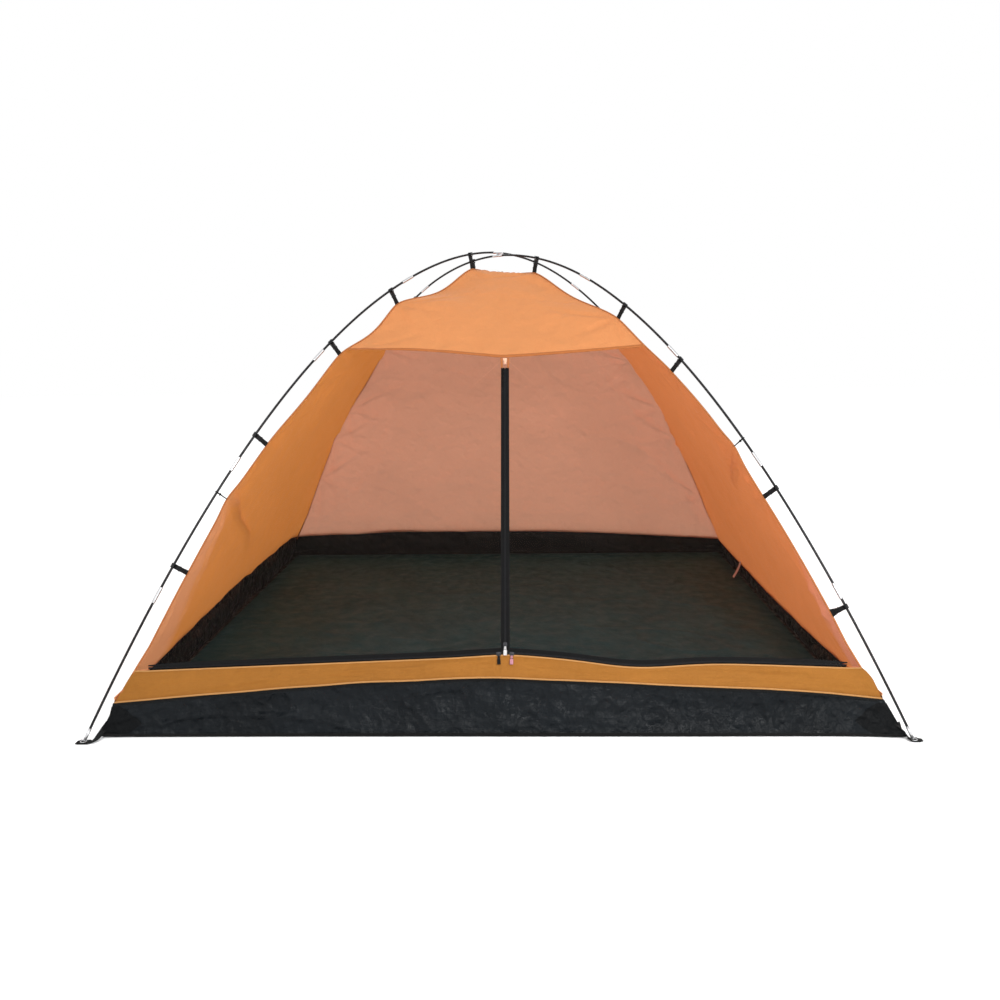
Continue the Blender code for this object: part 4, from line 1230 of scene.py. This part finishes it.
def small_things():
    # blank care label in the right wall's seam
    g = np.linspace(0, 1, 10)
    path = np.stack([0.992 - 0.034 * g + 0.004 * np.sin(g * 3), 0.52 - 0.02 * g, 0.074 - 0.062 * g], -1)
    put(ribbon("care_label", path, (0, 1, 0), (-0.88, 0, 0.48), 0.026, 0.0006, LABEL))
    # two small loops and a knot at the top of the roof
    z = float(seam(np.array([0.01]), FRONT_LEFT)[1][0]) + 0.005
    for k, (x, y, size) in enumerate(((0.001, -0.012, 0.0052), (0.014, -0.010, 0.0052), (0.008, -0.016, 0.0030)), 1):
        put(ring_tube(f"roof_tie_{k}", (x, y, z), (size, 0, 0), (0, 0.6 * size, 0.8 * size), (0.1, 0.2, 1), 0.0019,
                      CORD_WHITE, 17))


# ---- the whole tent ----
walls()
cap_hem_line = cap()
bindings()
nets(cap_hem_line)
sill()
sill_zips()
upright_zip()
floor()
tub()
tub_bindings()
poles()
clips()
ties()
sliders()
straps()
small_things()


# ---- floor, light, camera ----
def stage():
    n = Nodes("studio_floor")
    n.set(Base_Color=(1, 1, 1, 1), Roughness=1.0, Specular_IOR_Level=0.0)
    ob = piece("studio_floor", [(-14, -14, 0), (14, -14, 0), (14, 14, 0), (-14, 14, 0)], [(0, 1, 2, 3)], n.mat)
    ob.location.z = -0.0006
    world = bpy.data.worlds.new("studio")
    bpy.context.scene.world = world
    world.use_nodes = True
    back = world.node_tree.nodes["Background"]
    back.inputs["Color"].default_value = (1, 1, 1, 1)
    back.inputs["Strength"].default_value = 1.0
    for name, where, aim, size, power in (("key", (-2.0, -3.8, 4.4), (0, 0, 0.5), 2.6, 70),
                                          ("band", (0.9, -3.0, 1.5), (0.25, -1.0, 0.08), 0.30, 40),
                                          ("fill", (3.4, -2.6, 2.8), (0, 0, 0.5), 3.0, 30),
                                          ("rear", (0.3, 4.2, 3.6), (0, 0, 0.5), 3.0, 90)):
        light = bpy.data.lights.new(name, "AREA")
        light.size, light.energy = size, power
        ob = bpy.data.objects.new(name, light)
        ob.location = where
        ob.rotation_euler = (Vector(aim) - Vector(where)).to_track_quat("-Z", "Y").to_euler()
        bpy.context.scene.collection.objects.link(ob)
    bpy.context.scene.view_settings.view_transform = "Standard"


def camera():
    # the photograph's viewing angle: place in metres, turns in radians
    place, pitch, yaw, roll = (0.0782, -3.2681, 1.0187), 0.1757, 0.0250, -0.0132
    side = Vector((math.cos(yaw), math.sin(yaw), 0))
    ahead = Vector((-math.sin(yaw), math.cos(yaw), 0))
    forward = ahead * math.cos(pitch) - Vector((0, 0, math.sin(pitch)))
    up = ahead * math.sin(pitch) + Vector((0, 0, math.cos(pitch)))
    right = side * math.cos(roll) + up * math.sin(roll)
    above = up * math.cos(roll) - side * math.sin(roll)
    data = bpy.data.cameras.new("camera")
    data.lens, data.sensor_width = 33.14, 36.0
    data.clip_end = 60
    ob = bpy.data.objects.new("camera", data)
    ob.matrix_world = Matrix.Translation(place) @ Matrix((right, above, -forward)).transposed().to_4x4()
    bpy.context.scene.collection.objects.link(ob)
    bpy.context.scene.camera = ob


stage()
camera()
